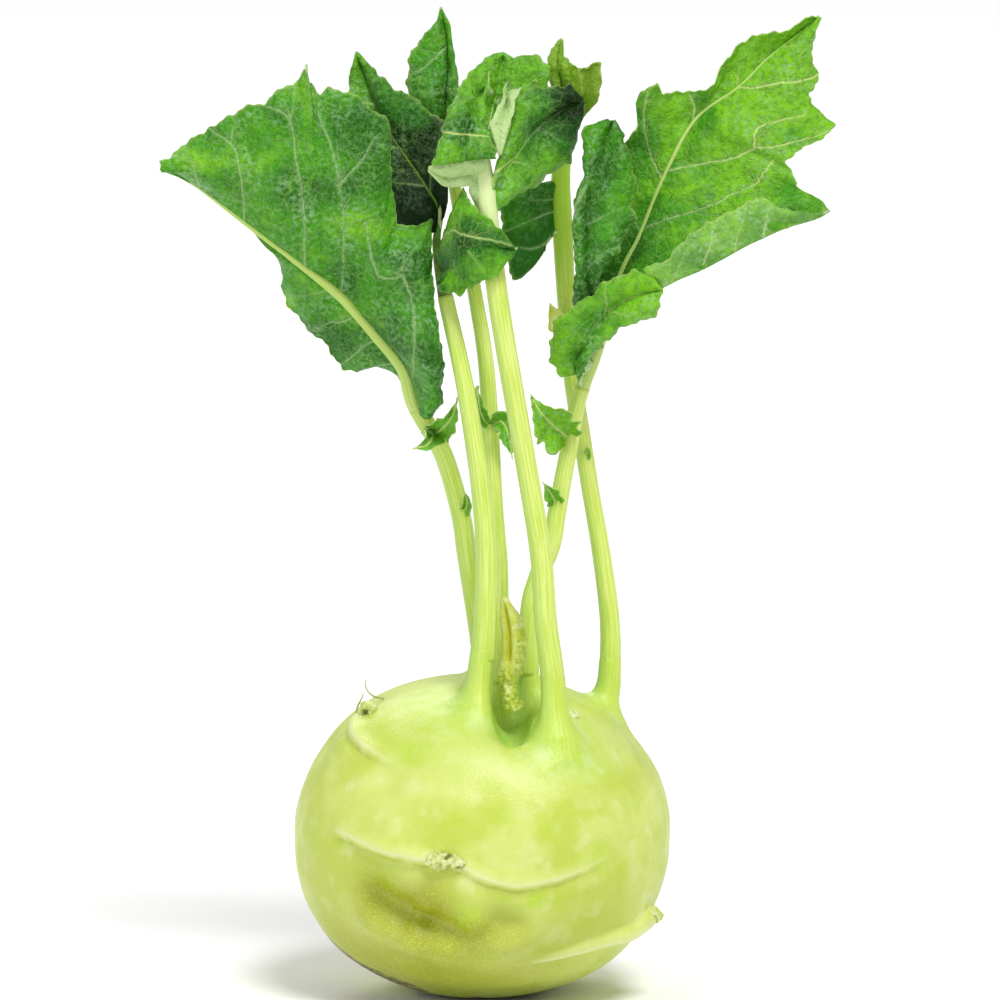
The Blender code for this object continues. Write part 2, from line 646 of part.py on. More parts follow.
                (0.35, 17.8, -6, 171), (0.42, 21.5, -6, 173.8), (0.48, 24, -7, 175.2),
                (0.58, 28.3, -7, 177.7), (0.66, 30.5, -8, 181), (0.74, 34.3, -8, 182),
                (0.82, 38, -8, 183.7), (0.93, 42, -8, 182.6),
                (1, 45, -8, 179),
            ],
            right=[
                (0, 24.5, 0, 154), (0.12, 24, -3, 153.3), (0.24, 25, -4, 158), (0.32, 26.5, -5, 160.6),
                (0.45, 31.8, -6, 165.4), (0.58, 35.5, -7, 169), (0.76, 43.3, -8, 171),
                (0.88, 44.5, -8, 174.5), (1, 45, -8, 178),
            ],
            crown=(1.5, 1.5),
        ),
    ],
    "right_rear": [
        dict(
            mid=[(20.2, 14.3, 191), (20, 14, 196), (19.8, 13.5, 201)],
            left=[
                (0, 17.5, 13, 190.5), (0.08, 15.8, 12, 188.4), (0.16, 13.3, 11, 184.3),
                (0.24, 9.5, 10, 179.1),
                (0.3, 7, 9, 178.7), (0.4, 6.5, 9, 182.8), (0.55, 4.5, 9, 188.3), (0.75, 4.5, 9, 197.2),
                (0.9, 9.5, 10, 202.7), (1, 17, 12, 203.6),
            ],
            right=[(0, 21, 14.5, 191), (1, 20.6, 13.8, 201.5)],
            crown=(1.0, 0.3),
        ),
        dict(
            mid=[(22, 11, 216.5), (24, 8, 221.5), (25, 6, 226), (24.7, 5, 230), (24, 4.7, 232.5)],
            left=[
                (0, 21.5, 10.5, 218), (0.3, 22.8, 7.5, 224.5), (0.5, 21.6, 6.5, 228), (0.65, 19.5, 6, 229.6),
                (0.8, 18.9, 5.5, 231.5), (0.9, 19, 5, 233.8), (0.96, 20.6, 5, 234.7), (1, 22.2, 4.8, 234.1),
            ],
            right=[
                (0, 24, 10, 218), (0.2, 27.1, 6, 222.5), (0.35, 28.8, 4, 224.7), (0.5, 29.5, 2.5, 227.7),
                (0.7, 29.5, 1.5, 231.1), (0.85, 29.4, 1, 234.1), (0.93, 28.4, 2, 234), (0.97, 27, 3.5, 231.9),
                (1, 24.9, 4.4, 232),
            ],
            crown=(-0.6, -1.2),
        ),
        dict(
            mid=[(22, 11, 216.5), (20.5, 7.5, 226), (19, 5.5, 234), (19.7, 5, 240)],
            left=[
                (0, 19.5, 10.5, 219), (0.4, 17, 7, 229), (0.6, 15.8, 6, 235.5), (0.75, 17.5, 5.5, 237.5),
                (1, 19.2, 5, 239.5),
            ],
            right=[
                (0, 23, 10.5, 219), (0.4, 21.5, 6.5, 230), (0.6, 21.8, 5, 234.5), (0.75, 20.3, 5, 235.5),
                (1, 20, 5, 239.7),
            ],
            crown=(1.0, 1.0),
        ),
    ],
}

# Small leaflets low on the stalks: which stalk each grows from, its tufts' midlines from the
# stalk outwards, and each tuft's half-width.
LEAFLETS = {
    "leaflet_left": ("left", DARK_GREEN, [
        ([(-12.5, 8, 140.5), (-10.5, 2, 142), (-7.5, -3, 146), (-6.3, -4, 151)], 3.0),
        ([(-12.5, 8, 140.5), (-12.5, 2, 140), (-14, -0.5, 138.5), (-17.3, 0, 137.6)], 2.6),
    ]),
    "leaflet_left_low": ("left", DARK_GREEN, [
        ([(-5.3, 11, 119), (-3.8, 8, 122), (-4.5, 7, 126.5)], 1.5),
    ]),
    "leaflet_back": ("back", DARK_GREEN, [
        ([(2, 7.3, 142), (-0.3, 3, 146), (-1.3, 3, 153)], 1.7),
        ([(2, 7.3, 142), (5, 3, 144), (7, 2, 139.5), (7.5, 3, 134.5)], 2.6),
    ]),
    "leaflet_right": ("right", LEAF_GREEN, [
        ([(22.2, 3.3, 139.5), (19, -2, 142.5), (15, -4, 147), (12, -3, 151.5)], 5.3),
    ]),
    "leaflet_right_low": ("right", DARK_GREEN, [
        ([(19, 2, 123), (17.5, -1, 126), (15.2, -2, 129.5)], 2.2),
    ]),
    "leaflet_rear": ("right_rear", LEAF_GREEN, [
        ([(25.4, 14.4, 134), (26.3, 11.3, 135.3), (26, 10.3, 137.5)], 1.5),
    ]),
    "leaflet_rear_dry": ("right_rear", DRY_GREEN, [
        ([(21.2, 15, 167), (19, 11, 169), (17.3, 9.5, 173)], 2.8),
    ]),
}


def margin_at(stations, where):
    """The margin's point at each place in where along the midline."""
    stations = np.array(stations, float)
    return np.stack([np.interp(where, stations[:, 0], stations[:, k]) for k in (1, 2, 3)], axis=-1)


def rows_of(lobe, length):
    """Where the lobe's cross rows lie along its midline: at each margin point, and between those
    that lie far apart."""
    wanted = sorted({station[0] for side in ("left", "right") for station in lobe[side]})
    rows = [wanted[0]]
    for place in wanted[1:]:
        apart = (place - rows[-1]) * length
        if apart > LEAST_STEP:
            rows += list(np.linspace(rows[-1], place, math.ceil(apart / BLADE_STEP) + 1)[1:])
    return np.array(rows)


def lobe_grid(lobe):
    """The lobe's points, from its left margin over its midline to its right margin."""
    midline = smooth_path(lobe["mid"], 2.0)
    length = lengths_along(midline)[-1]
    rows = rows_of(lobe, length)
    middle = at_length(midline, rows * length)[:, None, :]
    spread = (np.arange(1, BLADE_COLUMNS) / (BLADE_COLUMNS - 1))[None, :, None]
    halves = []
    for side, crown in zip(("left", "right"), lobe["crown"]):
        margin = margin_at(lobe[side], rows)[:, None, :]
        half = middle + (margin - middle) * spread
        half[:, :, 1] -= crown * (4 * spread * (1 - spread))[:, :, 0]
        waves = np.sin(2 * math.pi * rows * length / WAVE_LENGTH) * np.sin(math.pi * rows)
        half[:, :, 1] += lobe.get("wave", 0) * waves[:, None] * (spread**2)[:, :, 0]
        halves.append(half)
    return np.concatenate([halves[0][:, ::-1], middle, halves[1]], axis=1)


def stalk_path(stalk):
    return smooth_path(stalk["path"], 6.0)


def length_at(path, place):
    """How far along the path it comes nearest to the place."""
    fine = np.linspace(0, lengths_along(path)[-1], 400)
    return fine[np.argmin(np.linalg.norm(at_length(path, fine) - np.array(place), axis=1))]


def stalk_radii(stalk, path, where):
    """The stalk's radius at each distance in where along its path."""
    leaf_start = length_at(path, stalk["leaf_at"])
    stops = [0, leaf_start * 0.5, leaf_start, lengths_along(path)[-1]]
    return np.interp(where, stops, stalk["radii"])


def stretch(start, end, step):
    """The distances from start to end, about a step apart."""
    return np.linspace(start, end, max(2, round((end - start) / step) + 1))


def foot(name, path, radius, flare, height, finish):
    """The flared foot of a stalk, from inside the swollen stem to where the stalk stands on it."""
    heading = unit(path[1] - path[0])
    where = np.array([-FOOT_DEPTH, -3, 0, *(height * np.array([0.12, 0.25, 0.4, 0.6, 0.8, 1]))])
    inside = path[0] + where[where < 0][:, None] * heading
    centres = np.concatenate([inside, at_length(path, where[where >= 0])])
    radii = radius * (1 + flare * np.exp(-np.maximum(where, -2) / FOOT_FADE))
    return tube(name, centres, radii, FOOT_SIDES, finish)


def swollen_stem(finish):
    made = globe(finish)
    feet = [
        foot("foot", stalk_path(stalk), stalk["radii"][0], stalk["flare"], FOOT_HEIGHT, finish)
        for stalk in STALKS.values()
    ]
    stub_path = smooth_path(STUB_PATH, 2.0)
    feet.append(foot("foot", stub_path, STUB_RADII[0], 0.2, STUB_FOOT_HEIGHT, finish))
    ridges = [scar_ridge(ridge, finish) for ridge in SCAR_RIDGES]
    lumps = [scar_lump(*lump, seed, finish) for seed, lump in enumerate(SCAR_LUMPS)]
    return combine(made, feet + ridges + lumps, "UNION")


def stalk_piece(name, stalk, finish):
    """The stalk from its foot to where its leaf starts."""
    path = stalk_path(stalk)
    where = stretch(FOOT_HEIGHT + GAP, length_at(path, stalk["leaf_at"]) - GAP, 6.0)
    return tube(name, at_length(path, where), stalk_radii(stalk, path, where), STALK_SIDES, finish)


def stub_piece(finish):
    path = smooth_path(STUB_PATH, 2.0)
    along = lengths_along(path)
    where = stretch(STUB_FOOT_HEIGHT + GAP, along[-1], 3.0)
    radii = np.interp(where, np.linspace(0, along[-1], len(STUB_RADII)), STUB_RADII)
    lumps = 1 + 0.12 * np.sin(where * 1.9)
    return tube("stub", at_length(path, where), radii * lumps, STALK_SIDES, finish, squash=0.8)


def leaf_piece(name, stalk, lobes, finish):
    """A leaf: the midrib that its stalk runs on as, with the sheets of its lobes."""
    path = stalk_path(stalk)
    where = stretch(length_at(path, stalk["leaf_at"]), lengths_along(path)[-1] - MIDRIB_STOP, 6.0)
    midrib = tube(name, at_length(path, where), stalk_radii(stalk, path, where), MIDRIB_SIDES, finish)
    sheets = [sheet("lobe", lobe_grid(lobe), BLADE_THICKNESS, finish) for lobe in lobes]
    return combine(midrib, sheets, "UNION", solver="MANIFOLD")


def tuft_grid(midline, half_width):
    """A cupped, pointed little blade along the midline."""
    path = smooth_path(midline, 2.0)
    length = lengths_along(path)[-1]
    rows = np.linspace(0, 1, TUFT_ROWS)
    centres = at_length(path, rows * length)
    tangents = unit(np.gradient(centres, axis=0))
    across = unit(np.cross(tangents, (0, -1, 0)))
    forward = np.cross(across, tangents)
    widths = half_width * np.maximum(0.15, np.sin(math.pi * rows**0.8)) * (rows < 1)
    columns = np.linspace(-1, 1, 5)
    sideways = columns[None, :, None] * widths[:, None, None] * across[:, None, :]
    cup = (columns**2)[None, :, None] * widths[:, None, None] * TUFT_CUP * forward[:, None, :]
    return centres[:, None, :] + sideways + cup


def leaflet_piece(name, stalk, tufts, finish):
    """A leaflet, cut clear of the stalk that it grows from."""
    sheets = [sheet("tuft", tuft_grid(*tuft), BLADE_THICKNESS, finish) for tuft in tufts]
    made = sheets[0]
    if sheets[1:]:
        combine(made, sheets[1:], "UNION", solver="MANIFOLD")
    path = stalk_path(stalk)
    root = length_at(path, tufts[0][0][0])
    where = stretch(root - 15, root + 15, 3.0)
    radii = stalk_radii(stalk, path, where) + GAP
    cutter = tube("cutter", at_length(path, where), radii, STALK_SIDES, finish)
    combine(made, [cutter], "DIFFERENCE")
    made.name = name
    return made


def main():
    for old in list(bpy.data.objects):
        bpy.data.objects.remove(old)
    bulb_finish = material("bulb_skin", BULB_GREEN, 0.42)
    stalk_finish = material("stalk_skin", STALK_GREEN, 0.4)
    dry_finish = material("dry_leaf", DRY_GREEN, 0.8)
    swollen_stem(bulb_finish)
    for key, stalk in STALKS.items():
        stalk_piece(f"stalk_{key}", stalk, stalk_finish)
        leaf_finish = material(f"blade_{key}", LEAF_COLOURS[key], 0.45)
        leaf_piece(f"leaf_{key}", stalk, LOBES[key], leaf_finish)
    for name, (key, colour, tufts) in LEAFLETS.items():
        leaflet_piece(name, STALKS[key], tufts, material(name, colour, 0.5))
    stub_piece(dry_finish)


main()
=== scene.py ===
"""The looks of the kohlrabi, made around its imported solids: a continuous waxy skin over the swollen
stem and the feet of its stalks, ribbed stalks, and leaves with waves, veins and toothed margins.
Lengths are in millimetres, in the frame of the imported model, and are turned into metres as each
mesh is made. +X is right, +Y is back and +Z is up."""

import math

import bpy
import numpy as np
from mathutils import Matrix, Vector


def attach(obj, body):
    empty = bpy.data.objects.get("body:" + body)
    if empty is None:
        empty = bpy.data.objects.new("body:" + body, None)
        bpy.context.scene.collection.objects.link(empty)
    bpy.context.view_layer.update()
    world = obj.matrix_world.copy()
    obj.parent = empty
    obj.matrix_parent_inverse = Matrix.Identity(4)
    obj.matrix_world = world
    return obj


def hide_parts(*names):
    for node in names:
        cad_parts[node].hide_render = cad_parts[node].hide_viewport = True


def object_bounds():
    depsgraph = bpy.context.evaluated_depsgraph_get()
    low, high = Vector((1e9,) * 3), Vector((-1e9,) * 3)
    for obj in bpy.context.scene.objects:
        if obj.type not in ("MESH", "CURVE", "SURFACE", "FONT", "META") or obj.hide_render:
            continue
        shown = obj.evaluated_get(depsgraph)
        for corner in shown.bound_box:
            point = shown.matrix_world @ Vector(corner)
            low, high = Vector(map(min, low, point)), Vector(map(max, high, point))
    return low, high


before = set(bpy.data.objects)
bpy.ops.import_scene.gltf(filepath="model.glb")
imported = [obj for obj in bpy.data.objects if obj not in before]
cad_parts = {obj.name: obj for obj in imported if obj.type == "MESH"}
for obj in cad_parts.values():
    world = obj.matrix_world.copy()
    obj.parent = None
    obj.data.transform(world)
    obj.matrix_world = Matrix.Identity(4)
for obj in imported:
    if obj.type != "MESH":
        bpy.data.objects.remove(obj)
CAD_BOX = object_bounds()

MM = 0.001
BODY = "root"
FLOOR_REACH = 12000

# How many points are measured at once, and how many waves make up a ripple.
MOST_AT_ONCE = 20000
RIPPLE_WAVES = 9
RIPPLE_SCALE = 3.5

# The swollen stem's solid: a flattened globe on a flat cut base.
BULB_RADIUS = 47.0
BULB_HALF_HEIGHT = 40.3
BULB_CENTRE = np.array([0, 0, 39.6])
BULB_ROUNDNESS = 2.2
SKIN_STEP = 0.7
SKIN_TOP = 95.0
SKIN_PASSES = 3
FAR_OFF = 5.0
FEET_FROM = 58.0
FILLET = 4.5
PIT_PLACE = np.array([7.8, -21.5, 78])
PIT_SIZE = np.array([5.4, 15.0, 13.0])
PIT_ROUNDING = 3.0
SCAR_REACH = 9.0
STOUT_EDGE = 1.8
CRUMB_ROWS = 34
CRUMB_SIDES = 48
HAIR_RADIUS = 0.3
HAIR_SIDES = 8
STUB_SIDES = 80

# The stalks' solids.
FOOT_HEIGHT = 13.0
FOOT_DEPTH = 7.0
FOOT_FADE = 4.5
FLARE_SHARE = 0.75
FOOT_LAP = 3.0
JOINT_STEP = 0.06
LEAF_LAP = 1.5
STALK_SIDES = 56
MIDRIB_SIDES = 32
STALK_STEP = 0.9

# The sets of ribs round a stalk: how high, how many, where they start and which way they drift.
RIBS = [(0.35, 3, 0.7, 1), (0.40, 7, 2.1, -1), (0.30, 12, 0.4, 2), (0.20, 19, 1.3, -1)]

# The leaf blades.
BLADE_THICKNESS = 0.55
BLADE_STEP = 0.85
WAVE_LENGTH = 19.0
MIDRIB_END = 3.0
VEIN_WIDTH = 1.6
TWIG_WIDTH = 1.1
PUFF_WIDTH = 4.5
VEIN_REACH = 3.0
TUFT_STEP = 0.4
TUFT_CUP = 0.55

# Leaf-scar ridges on the swollen stem. Each has the points that it follows over the surface, how
# high it stands at each point, and its radius there.
SCAR_RIDGES = [
    dict(
        path=[
            (-38, -27, 47), (-35, -31, 46), (-29, -37, 44.3), (-23, -41, 42.6), (-14, -45, 41.4),
            (-8, -46, 41),
        ],
        heights=(0, 0.6, 1.1, 1.4, 1.3, 0.6),
        radii=(1.5, 1.9, 2.2, 2.3, 2.2, 1.6),
    ),
    dict(
        path=[
            (-7, -46, 41), (-4, -47, 39.6), (2, -47, 36.6), (9.5, -46, 35), (19.5, -43, 36.5),
            (27, -38, 39.2), (34, -32, 41.4),
        ],
        heights=(0.5, 0.9, 0.9, 0.8, 0.7, 0.4, 0),
        radii=(1.3, 1.4, 1.4, 1.4, 1.3, 1.2, 1.2),
    ),
    dict(
        path=[
            (9, -37, 14), (19, -35, 15), (29, -30, 17.4), (36, -22, 19.6), (39.5, -15.5, 21),
            (41, -11.5, 21.6),
        ],
        heights=(0, 1.0, 1.8, 2.8, 3.4, 3.2),
        radii=(1.4, 1.7, 2.2, 2.9, 3.4, 3.5),
        stout=True,
    ),
    dict(
        path=[
            (-32, -3, 71.5), (-32, -10, 69.5), (-31, -19, 67.5), (-28, -25, 65.6), (-24, -30, 64.3),
            (-17, -37, 61.5),
        ],
        heights=(0.8, 1.1, 1.1, 0.8, 0.4, 0),
        radii=(1.8, 1.8, 1.8, 1.6, 1.5, 1.5),
    ),
    dict(
        path=[(36, 24, 56), (26, 35, 52), (12, 43, 49), (-2, 45, 48), (-14, 43, 50), (-26, 35, 54)],
        heights=(0, 0.8, 1.3, 1.3, 0.7, 0),
        radii=(1.5, 2.0, 2.3, 2.3, 1.7, 1.5),
    ),
    dict(
        path=[(-44, 2, 28), (-40, 16, 26), (-33, 27, 25), (-22, 35, 25), (-10, 40, 27)],
        heights=(0, 0.9, 1.4, 1.2, 0),
        radii=(1.5, 2.0, 2.3, 2.0, 1.5),
    ),
]

# Bumps and hollows: centre, height (below zero for a hollow) and half-width.
SWELLINGS = [
    ((7, -13, 78), -11.0, 7.5),
    ((7.5, -28.5, 71.5), -5.0, 5.8),
    ((-24, -41, 45), 1.2, 7.0),
    ((36, -24, 21), 1.2, 6.5),
    ((-31, -14, 69), 0.8, 5.0),
    ((-40, -4, 62), -1.5, 9.0),
    ((38, -2, 64), -1.4, 9.0),
    ((-26, -37, 32), -3.6, 4.6),
    ((-20, -40, 27.5), -4.2, 4.6),
    ((-13, -43, 24.5), -3.8, 4.4),
    ((-6.5, -44, 23), -2.2, 4.0),
    ((5, -45, 24.5), -2.4, 4.4),
    ((-27, -36, 22), 2.2, 5.0),
    ((-18, -39, 19), 2.6, 5.0),
    ((-9, -41, 16.5), 2.0, 5.0),
    ((7, -42, 17), 1.4, 7.5),
    ((-24, -36, 58), -1.0, 6.0),
    ((20, -38, 50), 0.8, 12.0),
    ((30, -34, 28), 0.8, 9.0),
    ((-2, 44, 34), -1.4, 9.0),
    ((26, 38, 40), 1.0, 10.0),
    ((-36, 24, 40), 1.0, 9.0),
    ((38, 12, 30), -1.0, 9.0),
    # Finer creases and bulges low on the front.
    ((-28, -36, 30), -0.8, 2.8),
    ((-24.5, -38, 27), -1.2, 2.6),
    ((-20, -40, 24.7), -1.7, 2.8),
    ((-14.5, -42, 24), -1.6, 2.6),
    ((-8.5, -43, 21.5), -1.2, 2.6),
    ((-14, -43.5, 29), 1.3, 3.2),
    ((-17, -40, 19), 1.5, 3.8),
    ((-21, -36, 13), -0.9, 3.0),
    ((-10, -38, 12), 0.7, 3.4),
    ((-2, -44, 25), 1.3, 2.8),
    ((9, -44, 24.3), -1.3, 3.0),
    ((4.5, -42, 18.6), 1.3, 3.6),
    ((12, -40, 16), -0.6, 3.0),
]

# Deeper olive patches in the hollows and low on the skin, partly its own green and partly painted shade:
# centre, how strong, and half-width.
OLIVE_SHADE_SPOTS = [
    ((-25, -37, 31), 1.0, 7.0),
    ((-15, -42, 25), 1.0, 6.5),
    ((-4, -44, 23), 0.8, 5.5),
    ((-13, -43, 31), 0.7, 6.0),
    ((-31, -27, 14), 0.7, 13.0),
    ((-14, -36, 10), 0.5, 11.0),
    ((5, -45, 24), 0.55, 6.0),
    ((-4, -30, 4), 0.55, 18.0),
    ((-40, -14, 20), 0.35, 12.0),
    ((14, -38, 9), 0.45, 14.0),
    ((30, -32, 30), 0.25, 12.0),
    ((-10, 40, 20), 0.5, 15.0),
    ((30, 30, 16), 0.3, 14.0),
]

# Vivid lime patches round the creases: centre, how strong, and half-width.
LIME_SPOTS = [
    ((-25, -39, 33.5), 0.6, 3.2),
    ((-3, -44, 28.5), 0.8, 3.2),
    ((-5, -44, 25), 0.5, 2.2),
    ((13, -44, 31), 0.8, 2.8),
    ((8, -44, 29), 0.4, 3.0),
    ((27, -37, 40), 0.7, 4.0),
    ((-34, -29, 44), 0.4, 4.0),
    ((30, -33, 66), 0.4, 5.0),
    ((-16, -33, 66), 0.4, 4.0),
]

# Corky lumps on the leaf scars: place, half-width, and height as a share of it.
CRUMBS = [
    ((-9.8, -46, 41.2), 4.0, 0.7),
    ((-6.0, -46.5, 40.4), 2.6, 0.8),
    ((41.5, -11.0, 21.8), 3.3, 1.0),
    ((40.8, -13.5, 23.0), 2.6, 1.2),
    ((-28.6, -9, 73), 3.4, 0.75),
    ((23, -18, 73.5), 2.2, 0.35),
    ((2, 45.5, 48), 3.0, 0.7),
    ((-33, 27, 25), 2.6, 0.7),
]

# Fine dry threads on the scar at the left shoulder.
HAIRS = [
    [(-24.5, -5, 75.2), (-26.8, -5, 75.6), (-28.4, -5, 76.8), (-29.2, -5, 78.6), (-28.9, -5, 80)],
    [(-31.5, -5, 71.5), (-31, -5, 73.5), (-30, -5, 75.4), (-29.7, -5, 76.4)],
]

# The woody edge of the cut root, where it shows at the left of the base.
BARK_LINE = [(-35, 8, 13), (-36.5, 0, 12.5), (-34, -8, 8.5), (-29, -13, 4), (-21, -16, 1)]

# Each stalk: its path from the crown to the tip of its leaf, its radius at the crown, halfway up
# the stalk, at the leaf and at the tip, how far its foot flares, and where the leaf starts. Then its
# leaf's slot, the midrib's radius at even places from the stalk to the tip, and how far the midrib
# takes on the stalk's colour, how far that has ripened to olive and how pale it is.
STALKS = {
    "left": dict(
        path=[
            (1, 14, 78), (-2, 13, 97), (-4, 12, 110), (-5.5, 11, 120), (-9.8, 9, 135), (-16.8, 7, 148),
            (-19.5, 5.5, 157), (-25.8, 4, 165), (-35, 1, 175.5), (-45, -2, 184), (-59, -4, 195),
            (-72, -5, 205), (-79.5, -6, 209.5),
        ],
        radii=(2.5, 2.5, 2.3, 0.5), flare=0.5, leaf_at=(-15.5, 7.3, 146),
        slot="leaf_bright", midrib=(2.3, 1.5, 0.9, 0.4), rib_tints=(1.0, 0.45, 0.15),
    ),
    "front_left": dict(
        path=[
            (-1, -19.5, 77), (-0.3, -18.5, 83), (0.8, -17, 97), (1, -15, 114), (-0.5, -13, 131),
            (-3.5, -10, 150.5), (-5.8, -7, 162), (-9.3, -2, 177), (-11.3, 2, 189), (-10.5, 5, 197),
            (-15, 8, 204), (-22.5, 11, 215), (-27.5, 13, 225.5), (-31.3, 15, 235.5),
        ],
        radii=(3.1, 2.5, 2.0, 0.5), flare=0.75, leaf_at=(-9.3, -2, 175),
        slot="leaf_dark", midrib=(1.9, 0.7, 0.5, 0.4), rib_tints=(0.2, 0.5, 0.0),
    ),
    "back": dict(
        path=[
            (4.5, -6.5, 69), (4, -4, 81), (4.3, 2, 105), (3, 5, 123), (1.3, 9, 154.5), (-1.5, 11, 173.5),
            (-4.3, 12, 188), (-7, 13.5, 203), (-9, 15, 218), (-8, 16, 228), (-8.3, 17, 237.5),
            (-10.3, 18, 246.5),
        ],
        radii=(2.4, 2.2, 1.5, 0.5), flare=0.4, leaf_at=(-7.5, 13.8, 206),
        slot="leaf_bright", midrib=(1.5, 0.9, 0.6, 0.4), rib_tints=(0.8, 0.5, 0.0),
    ),
    "front": dict(
        path=[
            (18, -27, 71), (17.8, -26, 77), (17.5, -25, 84), (15.8, -23.5, 98), (14.5, -22, 115),
            (10.5, -19.5, 139), (4, -14, 177), (0.8, -9, 206), (0.8, -4, 213), (2, 0, 220), (4, 3, 228),
            (5.3, 5, 236),
        ],
        radii=(3.0, 2.6, 2.6, 0.5), flare=0.8, leaf_at=(2.4, -11.7, 191),
        slot="leaf_dark", midrib=(2.5, 2.3, 0.4, 0.2), rib_tints=(1.0, 0.0, 0.6),
    ),
    "right": dict(
        path=[
            (12, -5, 71), (11.8, -2, 95), (14, 0, 105), (17.3, 1, 113), (18.8, 2, 121.5), (21.5, 3, 136),
            (24.3, 4, 150), (29, 4, 162.5), (35, 3, 181.5), (39.5, 2, 191), (45, 1, 205), (53, 0, 220),
            (64, -1, 228.5), (71, -1.5, 235.5), (78, -2, 241), (83.8, -3, 246),
        ],
        radii=(2.4, 2.4, 2.0, 0.5), flare=0.4, leaf_at=(24.8, 4, 151.5),
        slot="leaf_bright", midrib=(1.9, 0.7, 0.5, 0.3), rib_tints=(0.85, 0.4, 0.2),
    ),
    "right_rear": dict(
        path=[
            (30.5, 8, 70.5), (32, 9, 79), (32, 11, 93), (29.8, 13, 110), (27.3, 14, 124.5),
            (25.3, 14.5, 137), (22.5, 15, 155), (21, 15, 175), (20, 14, 195), (19.8, 13, 205.5),
            (22, 11, 217), (23.5, 9, 222),
        ],
        radii=(2.7, 2.2, 2.3, 2.2), flare=0.7, leaf_at=(21, 15, 173),
        slot="leaf_bright", midrib=(2.3, 2.5, 2.4, 1.2), rib_tints=(1.0, 0.9, 0.0),
    ),
}

# The withered remains of a young leaf in the crown.
STUB_PATH = [
    (8.4, -14, 73.5), (6.8, -13.5, 78), (6.7, -13, 82), (7.5, -13, 87), (7.4, -13, 94), (5.4, -12.5, 102),
]
STUB_RADII = [2.2, 1.5, 2.8, 3.1, 2.7, 1.0]


def vein(strength, *course, crease=0.0):
    """A main vein: its course as (place along the midline, share of the way out to the margin). crease
    is how far the blade stands forwards along it, in a fold."""
    return dict(strength=strength, course=course, crease=crease)


def plain(strength, start, halfway, end):
    """A main vein that leaves the midline at start and runs out to the margin."""
    return vein(strength, (start, 0.0), (halfway, 0.5), (end, 0.95))
